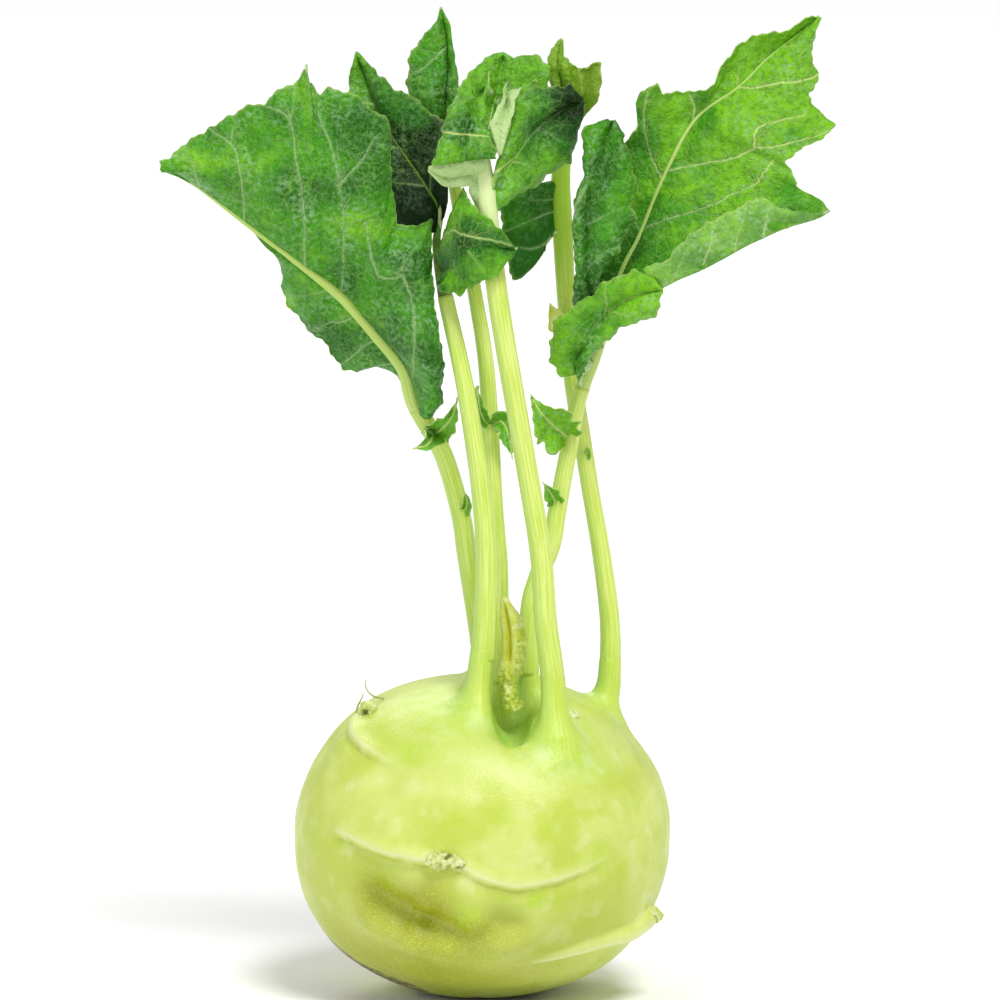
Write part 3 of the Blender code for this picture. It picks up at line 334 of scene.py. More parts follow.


# Each lobe of each leaf. Its sheet runs from its left margin over its midline, mid, to its right
# margin. Each margin point starts with how far along the midline its vein leaves, from 0 to 1.
# crown is how far each half bows out between midline and margin, towards the front, and wave how
# far its margins swing forwards and back. bright is painted light and shade: how much brighter (above
# 0) or darker the lobe is than its leaf at its base and at its tip. The value after it is how much pale
# bloom it has at each, partly painted sheen. pale is 1 where it shows its back, dry is how withered it
# is, and midvein is how strong a vein runs along its midline.
LOBES = {
    ("left", 0): dict(
        mid=[(-15.5, 7.3, 146), *STALKS["left"]["path"][6:]],
        left=[
            (0, -19, 9, 154), (0.08, -23, 11, 156.5), (0.15, -28, 12, 157), (0.22, -31.5, 12, 155),
            (0.28, -35, 12, 156), (0.33, -37.3, 12, 159), (0.36, -39, 11, 162.5), (0.4, -43, 10, 165.7),
            (0.47, -48.3, 9, 171.7), (0.53, -50.3, 8, 177.6), (0.58, -49.5, 6.5, 182),
            (0.62, -49.5, 3, 187), (0.7, -53.5, 1, 193), (0.85, -64.5, -1, 201.5), (1, -79.5, -6, 209.5),
        ],
        right=[
            (0, -13, 6, 146), (0.03, -9.8, 1, 149), (0.08, -9.3, -4, 158.3), (0.14, -10.3, -7, 166.3),
            (0.2, -12, -5.5, 177), (0.25, -12.5, -4.5, 191), (0.27, -12.5, -5, 196), (0.29, -17, -4, 194),
            (0.31, -20.8, -3, 195), (0.33, -21.8, -3, 200), (0.35, -23, -4, 213), (0.365, -23, -5, 221),
            (0.38, -25.8, -6, 223), (0.395, -31.8, -7, 228), (0.41, -37.8, -8, 229.6),
            (0.425, -40.3, -8, 227.5), (0.44, -43, -8.5, 231), (0.455, -43.5, -9, 236),
            (0.47, -45.5, -9.5, 231.5), (0.53, -51.5, -9.5, 228.3), (0.57, -54, -9, 225.6),
            (0.61, -57, -9, 225.2), (0.68, -61.3, -9, 223.2), (0.76, -65.8, -9, 220.7),
            (0.84, -71, -8.5, 217), (0.88, -73.8, -8, 215.5), (1, -79.5, -6, 209.5),
        ],
        crown=(1.0, 5.0), wave=1.2, bright=(-0.3, 0.2), dust=(0.5, 0.7),
        left_veins=[
            plain(0.7, 0.14, 0.16, 0.17), plain(0.8, 0.24, 0.27, 0.29), plain(0.7, 0.33, 0.37, 0.4),
            plain(0.5, 0.43, 0.47, 0.5),
        ],
        right_veins=[
            plain(0.6, 0.88, 0.87, 0.885),
            vein(1.0, (0.73, 0.0), (0.71, 0.36), (0.708, 0.62), (0.72, 0.76), (0.79, 0.98)),
            vein(0.6, (0.72, 0.76), (0.7, 0.88), (0.675, 0.98)),
            vein(1.0, (0.52, 0.0), (0.495, 0.4), (0.5, 0.61), (0.503, 0.82), (0.56, 0.97)),
            vein(0.6, (0.503, 0.82), (0.478, 0.98)),
            vein(1.0, (0.395, 0.0), (0.395, 0.24), (0.403, 0.56), (0.43, 0.91), (0.455, 0.97), crease=2.6),
            vein(0.8, (0.403, 0.56), (0.388, 0.7), (0.378, 0.88)),
            vein(1.0, (0.1, 0.15), (0.19, 0.61), (0.278, 0.52), (0.33, 0.47), (0.372, 0.45), crease=1.2),
            vein(0.5, (0.278, 0.52), (0.275, 0.7), (0.262, 0.92)),
        ],
    ),
    ("front_left", 0): dict(
        mid=[(-10.5, 3, 192), *STALKS["front_left"]["path"][9:]],
        left=[
            (0, -15, 7, 190.5), (0.08, -20, 8, 190), (0.16, -24, 9, 193), (0.3, -27, 12, 201),
            (0.6, -33, 13, 213), (0.8, -34.5, 14, 223), (0.9, -32.8, 14, 226), (0.95, -33.5, 14, 228.6),
            (1, -31.3, 15, 235.5),
        ],
        right=[
            (0, -10.5, 6.5, 198), (0.15, -8, 10, 208.5), (0.35, -9.3, 10.5, 219), (0.45, -12, 10.5, 221),
            (0.6, -19, 10.5, 226.4), (0.66, -21, 11, 226), (0.85, -27, 13, 231.9), (1, -31.3, 15, 235.5),
        ],
        crown=(2.0, 2.0), bright=(-1.4, 1.2), dust=(0.0, 0.7), midvein=0.2,
        left_veins=[
            plain(0.5, 0.25, 0.32, 0.4), plain(0.5, 0.48, 0.56, 0.64), plain(0.5, 0.72, 0.78, 0.84),
        ],
        right_veins=[plain(0.5, 0.2, 0.28, 0.36), plain(0.4, 0.45, 0.55, 0.62)],
    ),
    ("front_left", 1): dict(
        mid=[(-10, -1.5, 182), (-6.5, -9.5, 187), (-1.8, -15, 190), (8.8, -17.5, 190)],
        left=[
            (0, -11, 0.5, 189), (0.3, -4.8, -9, 205), (0.5, -2.8, -12, 201), (0.8, 3, -16, 196.5),
            (1, 8.8, -17.5, 190),
        ],
        right=[
            (0, -10, -3.5, 179), (0.12, -10.8, -7, 178), (0.25, -7.8, -9.5, 177.5), (0.4, -4.5, -12, 177.2),
            (0.47, -3.8, -13, 179), (0.65, 0, -17, 181), (0.8, 4, -18.5, 183), (0.88, 5.3, -18.5, 185),
            (0.95, 7.8, -18, 187), (1, 8.8, -17.5, 190),
        ],
        crown=(1.5, 1.0), bright=(0.3, 0.5), dust=(0.0, 0.2),
        left_veins=[
            vein(0.8, (0.08, 0.8), (0.2, 0.55), (0.36, 0.38), (0.71, 0.29), (0.94, 0.45)),
            vein(0.4, (0.36, 0.38), (0.4, 0.65), (0.42, 0.95)),
        ],
        right_veins=[plain(0.4, 0.3, 0.4, 0.48), plain(0.4, 0.55, 0.65, 0.7)],
    ),
    ("back", 0): dict(
        mid=[(-8.3, 14.5, 212), *STALKS["back"]["path"][8:]],
        left=[
            (0, -10, 15, 217), (0.1, -13.5, 15, 220.3), (0.25, -17.3, 14, 224.3), (0.35, -19.3, 14, 226.5),
            (0.5, -18.5, 14, 231), (0.65, -18.3, 15, 235.7), (0.8, -14.8, 16, 239.4),
            (0.93, -11.3, 17, 243.3), (1, -10.3, 18, 246.5),
        ],
        right=[
            (0, -7.5, 14, 215), (0.2, -6, 13, 222), (0.4, -5.8, 12.5, 229), (0.65, -7, 14, 236),
            (0.85, -8, 16, 242), (1, -10.3, 18, 246.5),
        ],
        crown=(1.5, 1.0), bright=(-0.4, 0.3), dust=(0.5, 0.5), midvein=0.5,
        left_veins=[
            vein(0.9, (0.74, 0.0), (0.68, 0.25), (0.562, 0.58), (0.48, 0.95)),
            vein(0.5, (0.42, 0.0), (0.37, 0.3), (0.34, 0.9)),
            vein(0.4, (0.55, 0.0), (0.5, 0.45), (0.46, 0.6)),
        ],
        right_veins=[plain(0.5, 0.3, 0.42, 0.5), plain(0.4, 0.55, 0.65, 0.72)],
    ),
    ("front", 0): dict(
        mid=[(0.8, -5.5, 211), *STALKS["front"]["path"][9:]],
        left=[
            (0, -1, -4, 212), (0.2, -4, 0, 218), (0.6, -5, 1, 228.5), (0.8, -3, 3, 232), (0.9, 0.3, 4, 235),
            (0.96, 2.8, 4.5, 236), (1, 5.3, 5, 236.5),
        ],
        right=[
            (0, 3, -4, 212), (0.3, 9, 0, 219), (0.6, 17, 3, 228.3), (0.75, 17, 4, 233.3),
            (0.85, 14, 5, 236.4), (0.9, 12.3, 5, 236), (0.95, 9.8, 5, 234), (0.98, 7.5, 5, 235.4),
            (1, 5.3, 5, 236.5),
        ],
        crown=(1.0, 1.5), bright=(2.2, 2.8), dust=(0.5, 0.5), midvein=0.3,
        left_veins=[plain(0.5, 0.2, 0.4, 0.6)],
        right_veins=[plain(0.7, 0.2, 0.38, 0.5), plain(0.5, 0.5, 0.64, 0.72)],
    ),
    ("front", 1): dict(
        mid=[(3, 2, 226), (-1.5, -7, 226.5), (-4.3, -11, 218), (-4.3, -14, 211.3)],
        left=[
            (0, -4, -5, 231.5), (0.25, -6.3, -8, 228), (0.5, -8.8, -11, 223), (0.75, -10.3, -13, 218.4),
            (0.95, -12.5, -14.5, 211.5), (1, -12.3, -14.5, 210.3),
        ],
        right=[
            (0, 2, -3.5, 233), (0.3, 1.3, -8, 227), (0.6, 1.3, -12, 220.5), (0.85, 3.3, -14, 215),
            (1, 4.2, -14.5, 212),
        ],
        crown=(1.5, 1.0), bright=(0.8, 0.6), dust=(0.4, 0.6),
        left_veins=[vein(0.9, (0.745, 0.0), (0.742, 0.5), (0.733, 0.97)), plain(0.4, 0.35, 0.37, 0.4)],
        right_veins=[plain(0.9, 0.745, 0.742, 0.74), plain(0.3, 0.45, 0.47, 0.48)],
    ),
    ("front", 2): dict(
        mid=[(3, 1, 224), (6, -6, 224), (4.5, -11.5, 219.5), (4.5, -13.8, 213)],
        left=[(0, 6.5, -3, 229.5), (0.4, 4, -9.5, 225), (0.7, 1.8, -12.3, 220.5), (1, 4.2, -14, 212.8)],
        right=[(0, 9.5, -4, 228.8), (0.4, 8.5, -9, 224.5), (0.7, 6.8, -11.5, 219), (1, 4.8, -13.5, 212.8)],
        crown=(0.3, 0.3), bright=(0.8, 0.8), pale=1.0,
    ),
    ("front", 3): dict(
        mid=[
            (1.8, -10, 200), (4, -8.5, 205), (8.3, -6, 211.6), (13, -4, 217.7), (19.5, -2, 222.5),
            (24.8, -1, 225),
        ],
        left=[
            (0, 1.8, -9.5, 204), (0.12, 3.8, -9, 211.5), (0.25, 6, -8, 217), (0.5, 8.3, -6, 224.5),
            (0.65, 11, -5, 228.9), (0.8, 17, -3, 228.9), (0.92, 22, -2, 229.3), (1, 24.8, -1, 225),
        ],
        right=[
            (0, 3.8, -8.3, 197.5), (0.15, 8.3, -5, 201), (0.4, 14, -3, 204), (0.52, 16.8, -2, 206.8),
            (0.6, 18.8, -1.5, 208), (0.72, 22, -1, 209.4), (0.8, 22.8, -1, 212.7), (0.88, 23.8, -1, 216),
            (0.95, 24.8, -1, 222), (1, 24.8, -1, 225),
        ],
        crown=(1.5, 2.0), bright=(1.2, -0.7), dust=(0.9, 0.0), midvein=0.4,
        left_veins=[
            vein(0.8, (0.03, 0.6), (0.092, 0.7), (0.22, 0.35), (0.38, 0.0)), plain(0.4, 0.5, 0.58, 0.66),
        ],
        right_veins=[plain(0.4, 0.35, 0.44, 0.52), plain(0.4, 0.62, 0.74, 0.82)],
    ),
    ("front", 4): dict(
        mid=[(-13.3, -12, 209), (-9, -11, 206.8), (-4.5, -10, 207.2), (0.5, -9.5, 208)],
        left=[(0, -13.3, -12, 209.8), (0.5, -7, -12, 212.2), (1, 0.6, -11, 212.4)],
        right=[
            (0, -13.3, -12, 208.6), (0.3, -9.5, -10.5, 204.8), (0.5, -7.6, -10, 204.4), (0.8, -3, -9, 205),
            (0.86, -2.4, -8.5, 202.5), (0.93, -1.2, -8, 199), (1, 0.6, -8, 196.5),
        ],
        crown=(0.6, 0.6), bright=(0.8, 0.8), pale=1.0,
    ),
    ("right", 0): dict(
        mid=[(33, 3.5, 175), *STALKS["right"]["path"][8:]],
        left=[
            (0, 28.5, 3.5, 170), (0.05, 29.5, 4.5, 182), (0.1, 32, 5, 190), (0.14, 35, 4, 203),
            (0.18, 35.5, 2, 214.6), (0.22, 38, 0, 218.6), (0.3, 39, -2, 226.7), (0.33, 41, -3, 229.2),
            (0.36, 43.5, -3, 230), (0.4, 45, -3, 227.4), (0.47, 50.3, -3, 227), (0.54, 56, -3, 228.2),
            (0.58, 58, -3, 230), (0.62, 59.3, -4, 234), (0.68, 63.5, -4, 239.4), (0.76, 69.3, -4, 242.7),
            (0.84, 74.5, -4, 243), (0.94, 82, -4, 247), (1, 83.8, -3, 246.3),
        ],
        right=[
            (0, 42, -6, 177), (0.08, 46, -8, 180), (0.16, 55.3, -10, 184.2), (0.27, 65.5, -10, 189.7),
            (0.35, 75, -9, 194), (0.4, 83.3, -8, 196.5), (0.43, 86.5, -7.5, 198.4), (0.46, 84, -7, 201),
            (0.48, 80.3, -7, 203), (0.5, 78.3, -7, 204.7), (0.53, 77.3, -6, 208.6), (0.56, 75, -6, 210.3),
            (0.59, 78.3, -6, 212.4), (0.64, 86, -5, 216.8), (0.67, 88.3, -5, 218.6),
            (0.72, 83.3, -4, 223.7), (0.76, 81.3, -4, 227), (0.79, 83.3, -3.5, 228), (0.83, 84, -3, 232.2),
            (0.86, 82.8, -3, 234.5), (0.91, 82, -3, 239), (0.95, 82.8, -3, 243.5), (1, 83.8, -3, 246.3),
        ],
        crown=(-2.0, 2.0), wave=1.2, bright=(-0.2, 1.1), dust=(0.1, 0.7),
        left_veins=[
            vein(1.0, (0.36, 0.0), (0.315, 0.38), (0.312, 0.75), (0.333, 0.97)),
            vein(0.8, (0.545, 0.0), (0.51, 0.7), (0.485, 0.97)),
            vein(0.5, (0.2, 0.0), (0.17, 0.5), (0.16, 0.9)), plain(0.4, 0.7, 0.7, 0.73),
        ],
        right_veins=[
            vein(1.0, (0.7, 0.0), (0.748, 0.35), (0.79, 0.66), (0.825, 0.96)),
            vein(1.0, (0.39, 0.0), (0.445, 0.19), (0.49, 0.4), (0.557, 0.66), (0.595, 0.83), (0.66, 0.99)),
            vein(0.8, (0.557, 0.66), (0.6, 0.52), (0.64, 0.56), (0.69, 0.75)),
            vein(1.0, (0.21, 0.0), (0.29, 0.3), (0.355, 0.44), (0.413, 0.49), (0.5, 0.72), (0.54, 0.85)),
            plain(0.4, 0.87, 0.9, 0.92),
        ],
    ),
    ("right", 1): dict(
        mid=[
            (44, -7.5, 178.5), (46, -8, 180), (55.3, -10, 184.2), (65.5, -10, 189.7), (75, -9, 194),
            (83.3, -8, 196.5), (86.5, -7.5, 198.4),
        ],
        left=[
            (0, 39.5, -9, 183.8), (0.1, 45, -11, 186.1), (0.25, 50.3, -12, 192), (0.4, 55.3, -12, 195.8),
            (0.55, 61.8, -12, 199.4), (0.72, 70, -11, 202.5), (0.8, 73.3, -10.5, 199.4),
            (0.9, 78.3, -9.5, 198.5), (1, 84.8, -8, 197.3),
        ],
        right=[
            (0, 44, -7, 179.3), (0.27, 55, -9.5, 185), (0.52, 65.2, -9.5, 190.5), (0.74, 74.7, -8.5, 194.8),
            (0.92, 83, -7.5, 197.2), (1, 86.2, -7, 198.6),
        ],
        crown=(0.3, 0.0), bright=(0.4, 0.6), dust=(0.9, 0.9), pale=0.15,
        left_veins=[
            plain(0.5, 0.08, 0.17, 0.3), plain(0.6, 0.25, 0.36, 0.46), plain(0.5, 0.45, 0.54, 0.62),
            plain(0.5, 0.62, 0.69, 0.75),
        ],
    ),
    ("right", 2): dict(
        mid=[
            (29, 4, 162.3), (27.5, 0, 174.5), (25.8, -4, 184), (25.3, -5, 196.6), (28.3, -5, 209),
            (32.8, -4, 220.5),
        ],
        left=[
            (0, 28, 3.5, 163), (0.15, 22.3, -1, 174.5), (0.35, 23, -6, 186.6), (0.6, 23, -6, 201.5),
            (0.75, 24.8, -6, 206), (0.92, 25, -5, 218.6), (1, 31, -4, 220.5),
        ],
        right=[
            (0, 30, 2.5, 163), (0.12, 28.3, -4, 177.5), (0.25, 30, -5, 184), (0.4, 34.3, -6, 187.7),
            (0.5, 35.8, -6, 191.2), (0.56, 39, -6, 196.2), (0.62, 38, -6, 199), (0.75, 39.3, -6, 205),
            (0.85, 36.8, -6, 211.6), (0.93, 35.3, -5, 217), (1, 32.8, -4, 220.5),
        ],
        crown=(1.0, 1.5), bright=(-0.4, -0.1), dust=(0.8, 0.5),
        left_veins=[
            vein(0.8, (0.4, 0.97), (0.512, 0.93), (0.655, 0.62), (0.84, 0.0)), plain(0.4, 0.22, 0.27, 0.34),
        ],
        right_veins=[
            vein(0.6, (0.86, 0.0), (0.99, 0.2)), plain(0.5, 0.35, 0.42, 0.47), plain(0.5, 0.55, 0.6, 0.64),
            plain(0.4, 0.18, 0.25, 0.3),
        ],
    ),
    ("right", 3): dict(
        mid=[(28, 4, 158.5), (25.5, -3, 163), (29.5, -5.5, 171), (37, -7.5, 176.5), (45, -8, 178.5)],
        left=[
            (0, 23, 1, 156), (0.08, 19.5, -2, 155.4), (0.16, 16.5, -2, 160.3), (0.24, 16.5, -4, 165.2),
            (0.35, 17.8, -6, 171), (0.42, 21.5, -6, 173.8), (0.48, 24, -7, 175.2), (0.58, 28.3, -7, 177.7),
            (0.66, 30.5, -8, 181), (0.74, 34.3, -8, 182), (0.82, 38, -8, 183.7), (0.93, 42, -8, 182.6),
            (1, 45, -8, 179),
        ],
        right=[
            (0, 24.5, 0, 154), (0.12, 24, -3, 153.3), (0.24, 25, -4, 158), (0.32, 26.5, -5, 160.6),
            (0.45, 31.8, -6, 165.4), (0.58, 35.5, -7, 169), (0.76, 43.3, -8, 171), (0.88, 44.5, -8, 174.5),
            (1, 45, -8, 178),
        ],
        crown=(1.5, 1.5), bright=(0.3, 0.8), dust=(0.6, 0.5), midvein=0.4,
        left_veins=[plain(0.4, 0.3, 0.36, 0.42), plain(0.5, 0.55, 0.62, 0.68)],
        right_veins=[plain(0.4, 0.35, 0.42, 0.5), plain(0.4, 0.58, 0.66, 0.72)],
    ),
    ("right_rear", 0): dict(
        mid=[(20.2, 14.3, 191), (20, 14, 196), (19.8, 13.5, 201)],
        left=[
            (0, 17.5, 13, 190.5), (0.08, 15.8, 12, 188.4), (0.16, 13.3, 11, 184.3), (0.24, 9.5, 10, 179.1),
            (0.3, 7, 9, 178.7), (0.4, 6.5, 9, 182.8), (0.55, 4.5, 9, 188.3), (0.75, 4.5, 9, 197.2),
            (0.9, 9.5, 10, 202.7), (1, 17, 12, 203.6),
        ],
        right=[(0, 21, 14.5, 191), (1, 20.6, 13.8, 201.5)],
        crown=(1.0, 0.3), bright=(-1.5, -0.2), dust=(0.1, 0.3),
        left_veins=[
            vein(0.8, (0.5, 0.0), (0.593, 0.22), (0.6, 0.76), (0.6, 0.95)),
            vein(0.7, (0.15, 0.0), (0.29, 0.44), (0.473, 0.85), (0.5, 0.95)), plain(0.5, 0.8, 0.8, 0.85),
        ],
    ),
    ("right_rear", 1): dict(
        mid=[(22, 11, 216.5), (24, 8, 221.5), (25, 6, 226), (24.7, 5, 230), (24, 4.7, 232.5)],
        left=[
            (0, 21.5, 10.5, 218), (0.3, 22.8, 7.5, 224.5), (0.5, 21.6, 6.5, 228), (0.65, 19.5, 6, 229.6),
            (0.8, 18.9, 5.5, 231.5), (0.9, 19, 5, 233.8), (0.96, 20.6, 5, 234.7), (1, 22.2, 4.8, 234.1),
        ],
        right=[
            (0, 24, 10, 218), (0.2, 27.1, 6, 222.5), (0.35, 28.8, 4, 224.7), (0.5, 29.5, 2.5, 227.7),
            (0.7, 29.5, 1.5, 231.1), (0.85, 29.4, 1, 234.1), (0.93, 28.4, 2, 234), (0.97, 27, 3.5, 231.9),
            (1, 24.9, 4.4, 232),
        ],
        crown=(-0.6, -1.2), bright=(0.8, 1.4), dust=(0.3, 0.3), dry=0.5, midvein=0.5,
    ),
    ("right_rear", 2): dict(
        mid=[(22, 11, 216.5), (20.5, 7.5, 226), (19, 5.5, 234), (19.7, 5, 240)],
        left=[
            (0, 19.5, 10.5, 219), (0.4, 17, 7, 229), (0.6, 15.8, 6, 235.5), (0.75, 17.5, 5.5, 237.5),
            (1, 19.2, 5, 239.5),
        ],
        right=[
            (0, 23, 10.5, 219), (0.4, 21.5, 6.5, 230), (0.6, 21.8, 5, 234.5), (0.75, 20.3, 5, 235.5),
            (1, 20, 5, 239.7),
        ],
        crown=(1.0, 1.0), bright=(0.3, 0.9), dust=(0.3, 0.3), dry=0.4, midvein=0.6,
    ),
}

# Small leaflets low on the stalks: which stalk each grows from, its tufts' midlines from the
# stalk outwards, and each tuft's half-width.
LEAFLETS = {
    "leaflet_left": ("leaf_dark", [
        ([(-12.5, 8, 140.5), (-10.5, 2, 142), (-7.5, -3, 146), (-6.3, -4, 151)], 3.0),
        ([(-12.5, 8, 140.5), (-12.5, 2, 140), (-14, -0.5, 138.5), (-17.3, 0, 137.6)], 2.6),
    ]),
    "leaflet_left_low": ("leaf_dark", [
        ([(-5.3, 11, 119), (-3.8, 8, 122), (-4.5, 7, 126.5)], 1.5),
    ]),
    "leaflet_back": ("leaf_dark", [
        ([(2, 7.3, 142), (-0.3, 3, 146), (-1.3, 3, 153)], 1.7),
        ([(2, 7.3, 142), (5, 3, 144), (7, 2, 139.5), (7.5, 3, 134.5)], 2.6),
    ]),
    "leaflet_right": ("leaf_bright", [
        ([(22.2, 3.3, 139.5), (19, -2, 142.5), (15, -4, 147), (12, -3, 151.5)], 5.3),
    ]),
    "leaflet_right_low": ("leaf_dark", [
        ([(19, 2, 123), (17.5, -1, 126), (15.2, -2, 129.5)], 2.2),
    ]),
    "leaflet_rear": ("leaf_bright", [
        ([(25.4, 14.4, 134), (26.3, 11.3, 135.3), (26, 10.3, 137.5)], 1.5),
    ]),
    "leaflet_rear_dry": ("dry_leaf", [
        ([(21.2, 15, 167), (19, 11, 169), (17.3, 9.5, 173)], 2.8),
    ]),
}


def smooth_path(points, step):
    """A Catmull-Rom curve through the points, with a point about every step."""
    points = [np.array(p, float) for p in points]
    padded = [2 * points[0] - points[1], *points, 2 * points[-1] - points[-2]]
    path = [points[0]]
    for before, start, end, after in zip(padded, padded[1:], padded[2:], padded[3:]):
        count = max(1, round(float(np.linalg.norm(end - start)) / step))
        for t in np.arange(1, count + 1) / count:
            slope = (end - before) * t
            bend = (2 * before - 5 * start + 4 * end - after) * t**2
            twist = (3 * start - before - 3 * end + after) * t**3
            path.append(0.5 * (2 * start + slope + bend + twist))
    return np.array(path)


def lengths_along(path):
    """How far along the path each of its points lies."""
    return np.concatenate([[0], np.cumsum(np.linalg.norm(np.diff(path, axis=0), axis=1))])


def at_length(path, where):
    """The point at each distance in where along the path."""
    along = lengths_along(path)
    return np.stack([np.interp(where, along, path[:, k]) for k in range(3)], axis=-1)


def length_of(path):
    return lengths_along(path)[-1]


def at_share(path, share):
    """The point at each share of the path's length."""
    return at_length(path, share * length_of(path))


def length_at(path, place):
    """How far along the path it comes nearest to the place."""
    fine = np.linspace(0, length_of(path), 400)
    return fine[np.argmin(np.linalg.norm(at_length(path, fine) - np.array(place), axis=1))]


def unit(vectors):
    return vectors / np.maximum(np.linalg.norm(vectors, axis=-1, keepdims=True), 1e-9)


def nearest(points, path):
    """How far each point is from the path, and the number of the path's nearest point."""
    apart = np.full(len(points), np.inf)
    place = np.zeros(len(points), int)
    for start in range(0, len(points), MOST_AT_ONCE):
        some = slice(start, start + MOST_AT_ONCE)
        away = np.linalg.norm(points[some, None] - path[None], axis=2)
        place[some] = away.argmin(axis=1)
        apart[some] = away.min(axis=1)
    return apart, place


def close_to(points, path, margin):
    """Whether each point lies in a box about the path's middle, this far wider than the path."""
    return (np.abs(points - path.mean(axis=0)) < np.ptp(path, axis=0) / 2 + margin).all(axis=1)


def ripple(points, size, seed):
    """A smooth random value from about -1 to 1 at each point, with bumps about this size across."""
    draw = np.random.default_rng(seed)
    total = np.zeros(points.shape[:-1])
    for _ in range(RIPPLE_WAVES):
        heading = unit(draw.normal(size=3)) * 2 * math.pi / size * draw.uniform(0.35, 0.9)
        total += np.sin(points @ heading + draw.uniform(0, 2 * math.pi))
    return total / RIPPLE_SCALE


def bell(distance, width):
    return np.exp(-((distance / width) ** 2))


def blend(value, low, high):
    """0 where the value is at low, 1 where it is at high, and smooth between."""
    share = np.clip((value - low) / (high - low), 0, 1)
    return share * share * (3 - 2 * share)


class Shape:
    """Points, four-cornered faces and the values that each point carries for its material."""

    def __init__(self, points, faces, **marks):
        self.points = np.asarray(points, float).reshape(-1, 3)
        self.faces = np.asarray(faces, int)
        self.marks = {name: np.asarray(values, float).ravel() for name, values in marks.items()}


def joined(shapes):
    """One shape of all these. A value that a shape doesn't carry is 0 there."""
    names = {name for shape in shapes for name in shape.marks}
    starts = np.cumsum([0] + [len(shape.points) for shape in shapes])
    whole = Shape(
        np.concatenate([shape.points for shape in shapes]),
        np.concatenate([shape.faces + start for shape, start in zip(shapes, starts)]),
    )
    for name in sorted(names):
        parts = [shape.marks.get(name, np.zeros(len(shape.points))) for shape in shapes]
        whole.marks[name] = np.concatenate(parts)
    return whole


def in_scene(name, data):
    made = bpy.data.objects.new(name, data)
    bpy.context.scene.collection.objects.link(made)
    return made


def new_piece(name, shape, finish):
    """An object of this shape, with each of its marks as a mesh attribute."""
    mesh = bpy.data.meshes.new(name)
    faces = [tuple(dict.fromkeys(face)) for face in shape.faces.tolist()]
    mesh.from_pydata(shape.points * MM, [], faces)
    mesh.shade_smooth()
    for mark, values in shape.marks.items():
        layer = mesh.attributes.new(mark, "FLOAT", "POINT")
        layer.data.foreach_set("value", values.astype(np.float32))
    mesh.materials.append(finish)
    return in_scene(name, mesh)


def dress(piece, slot, *nodes):
    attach(piece, BODY)
    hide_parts(*nodes)


def grid_faces(index):
    """The faces between the rows and columns of this grid of point numbers."""
    corners = [index[:-1, :-1], index[1:, :-1], index[1:, 1:], index[:-1, 1:]]
    return np.stack(corners, axis=-1).reshape(-1, 4)


def grid_places(count):
    """The whole-number place of each point of a grid with this many points along each axis."""
    return np.stack(np.meshgrid(*map(np.arange, count), indexing="ij"), axis=-1)


def frames_along(path):
    """The direction across the path, towards the right, and the one in front of it, at each point."""
    tangents = unit(np.gradient(path, axis=0))
    across = unit(np.cross(tangents, (0, -1, 0)))
    return across, np.cross(across, tangents)


# --- stalks -------------------------------------------------------------------------------------


def ribs(turns, along, depth):
    """How much a stalk stands out of its even radius at each turn round it: lengthwise ribs that
    drift a little along it."""
    drift = 0.25 * np.sin(along / 17.0)
    total = sum(high * np.cos(count * turns + start + way * drift) for high, count, start, way in RIBS)
    return 1 + depth * total


def tube(centres, radii, sides, depth, along):
    """A tube closed with a flat cap at each end. depth is how deep its ribs are at each ring, as a share of
    its radius.
    """
    across, front = frames_along(centres)
    turns = np.arange(sides) * 2 * math.pi / sides
    reach = radii[:, None] * ribs(turns[None], along[:, None], depth[:, None])
    rightwards = np.cos(turns)[None, :, None] * across[:, None]
    outwards = rightwards + np.sin(turns)[None, :, None] * front[:, None]
    points = centres[:, None] + reach[:, :, None] * outwards
    points = np.concatenate([centres[:1], points.reshape(-1, 3), centres[-1:]])
    rings = 1 + np.arange(len(centres) * sides).reshape(-1, sides)
    closed = np.concatenate([rings, rings[:, :1]], axis=1)
    ends = [np.zeros_like(closed[:1]), np.full_like(closed[:1], len(points) - 1)]
    faces = grid_faces(np.concatenate([ends[0], closed, ends[1]]))[:, ::-1]
    spread = np.broadcast_to(turns, (len(centres), sides)).ravel()
    marks = dict(
        turn_x=np.concatenate([[0], np.cos(spread), [0]]),
        turn_y=np.concatenate([[0], np.sin(spread), [0]]),
        along=np.concatenate([along[:1], np.repeat(along, sides), along[-1:]]),
        stalk=np.ones(len(points)),
    )
    return Shape(points, faces, **marks)


def stalk_path(stalk):
    return smooth_path(stalk["path"], 1.0)


def stalk_radii(stalk, path, where):
    """The stalk's radius at each distance in where along its path."""
    leaf_start = length_at(path, stalk["leaf_at"])
    stops = [0, leaf_start * 0.5, leaf_start, length_of(path)]
    return np.interp(where, stops, stalk["radii"])


def flared(stalk, where):
    return 1 + FLARE_SHARE * stalk["flare"] * np.exp(-np.maximum(where, -2) / FOOT_FADE)


def rib_depth(where):
    """Ribs are deep just above a stalk's foot, faint higher up, and fade out into the swollen stem."""
    return (0.025 + 0.025 * bell(np.maximum(where, 0), 16.0)) * blend(where, -2.0, 9.0)


def stalk_piece(key, stalk, finish):
    """The stalk from inside the swollen stem's foot up into its leaf."""
    path = stalk_path(stalk)
    start = FOOT_HEIGHT - FOOT_LAP
    where = np.arange(start, length_at(path, stalk["leaf_at"]) + LEAF_LAP, STALK_STEP)
    radii = stalk_radii(stalk, path, where) * flared(stalk, where)
    radii = radii - JOINT_STEP * blend(where, start + FOOT_LAP, start)
    shape = tube(at_length(path, where), radii, STALK_SIDES, rib_depth(where), where)
    dress(new_piece(f"stalk_{key}_skin", shape, finish), "stalk_skin", f"stalk_{key}")


# --- the swollen stem ---------------------------------------------------------------------------


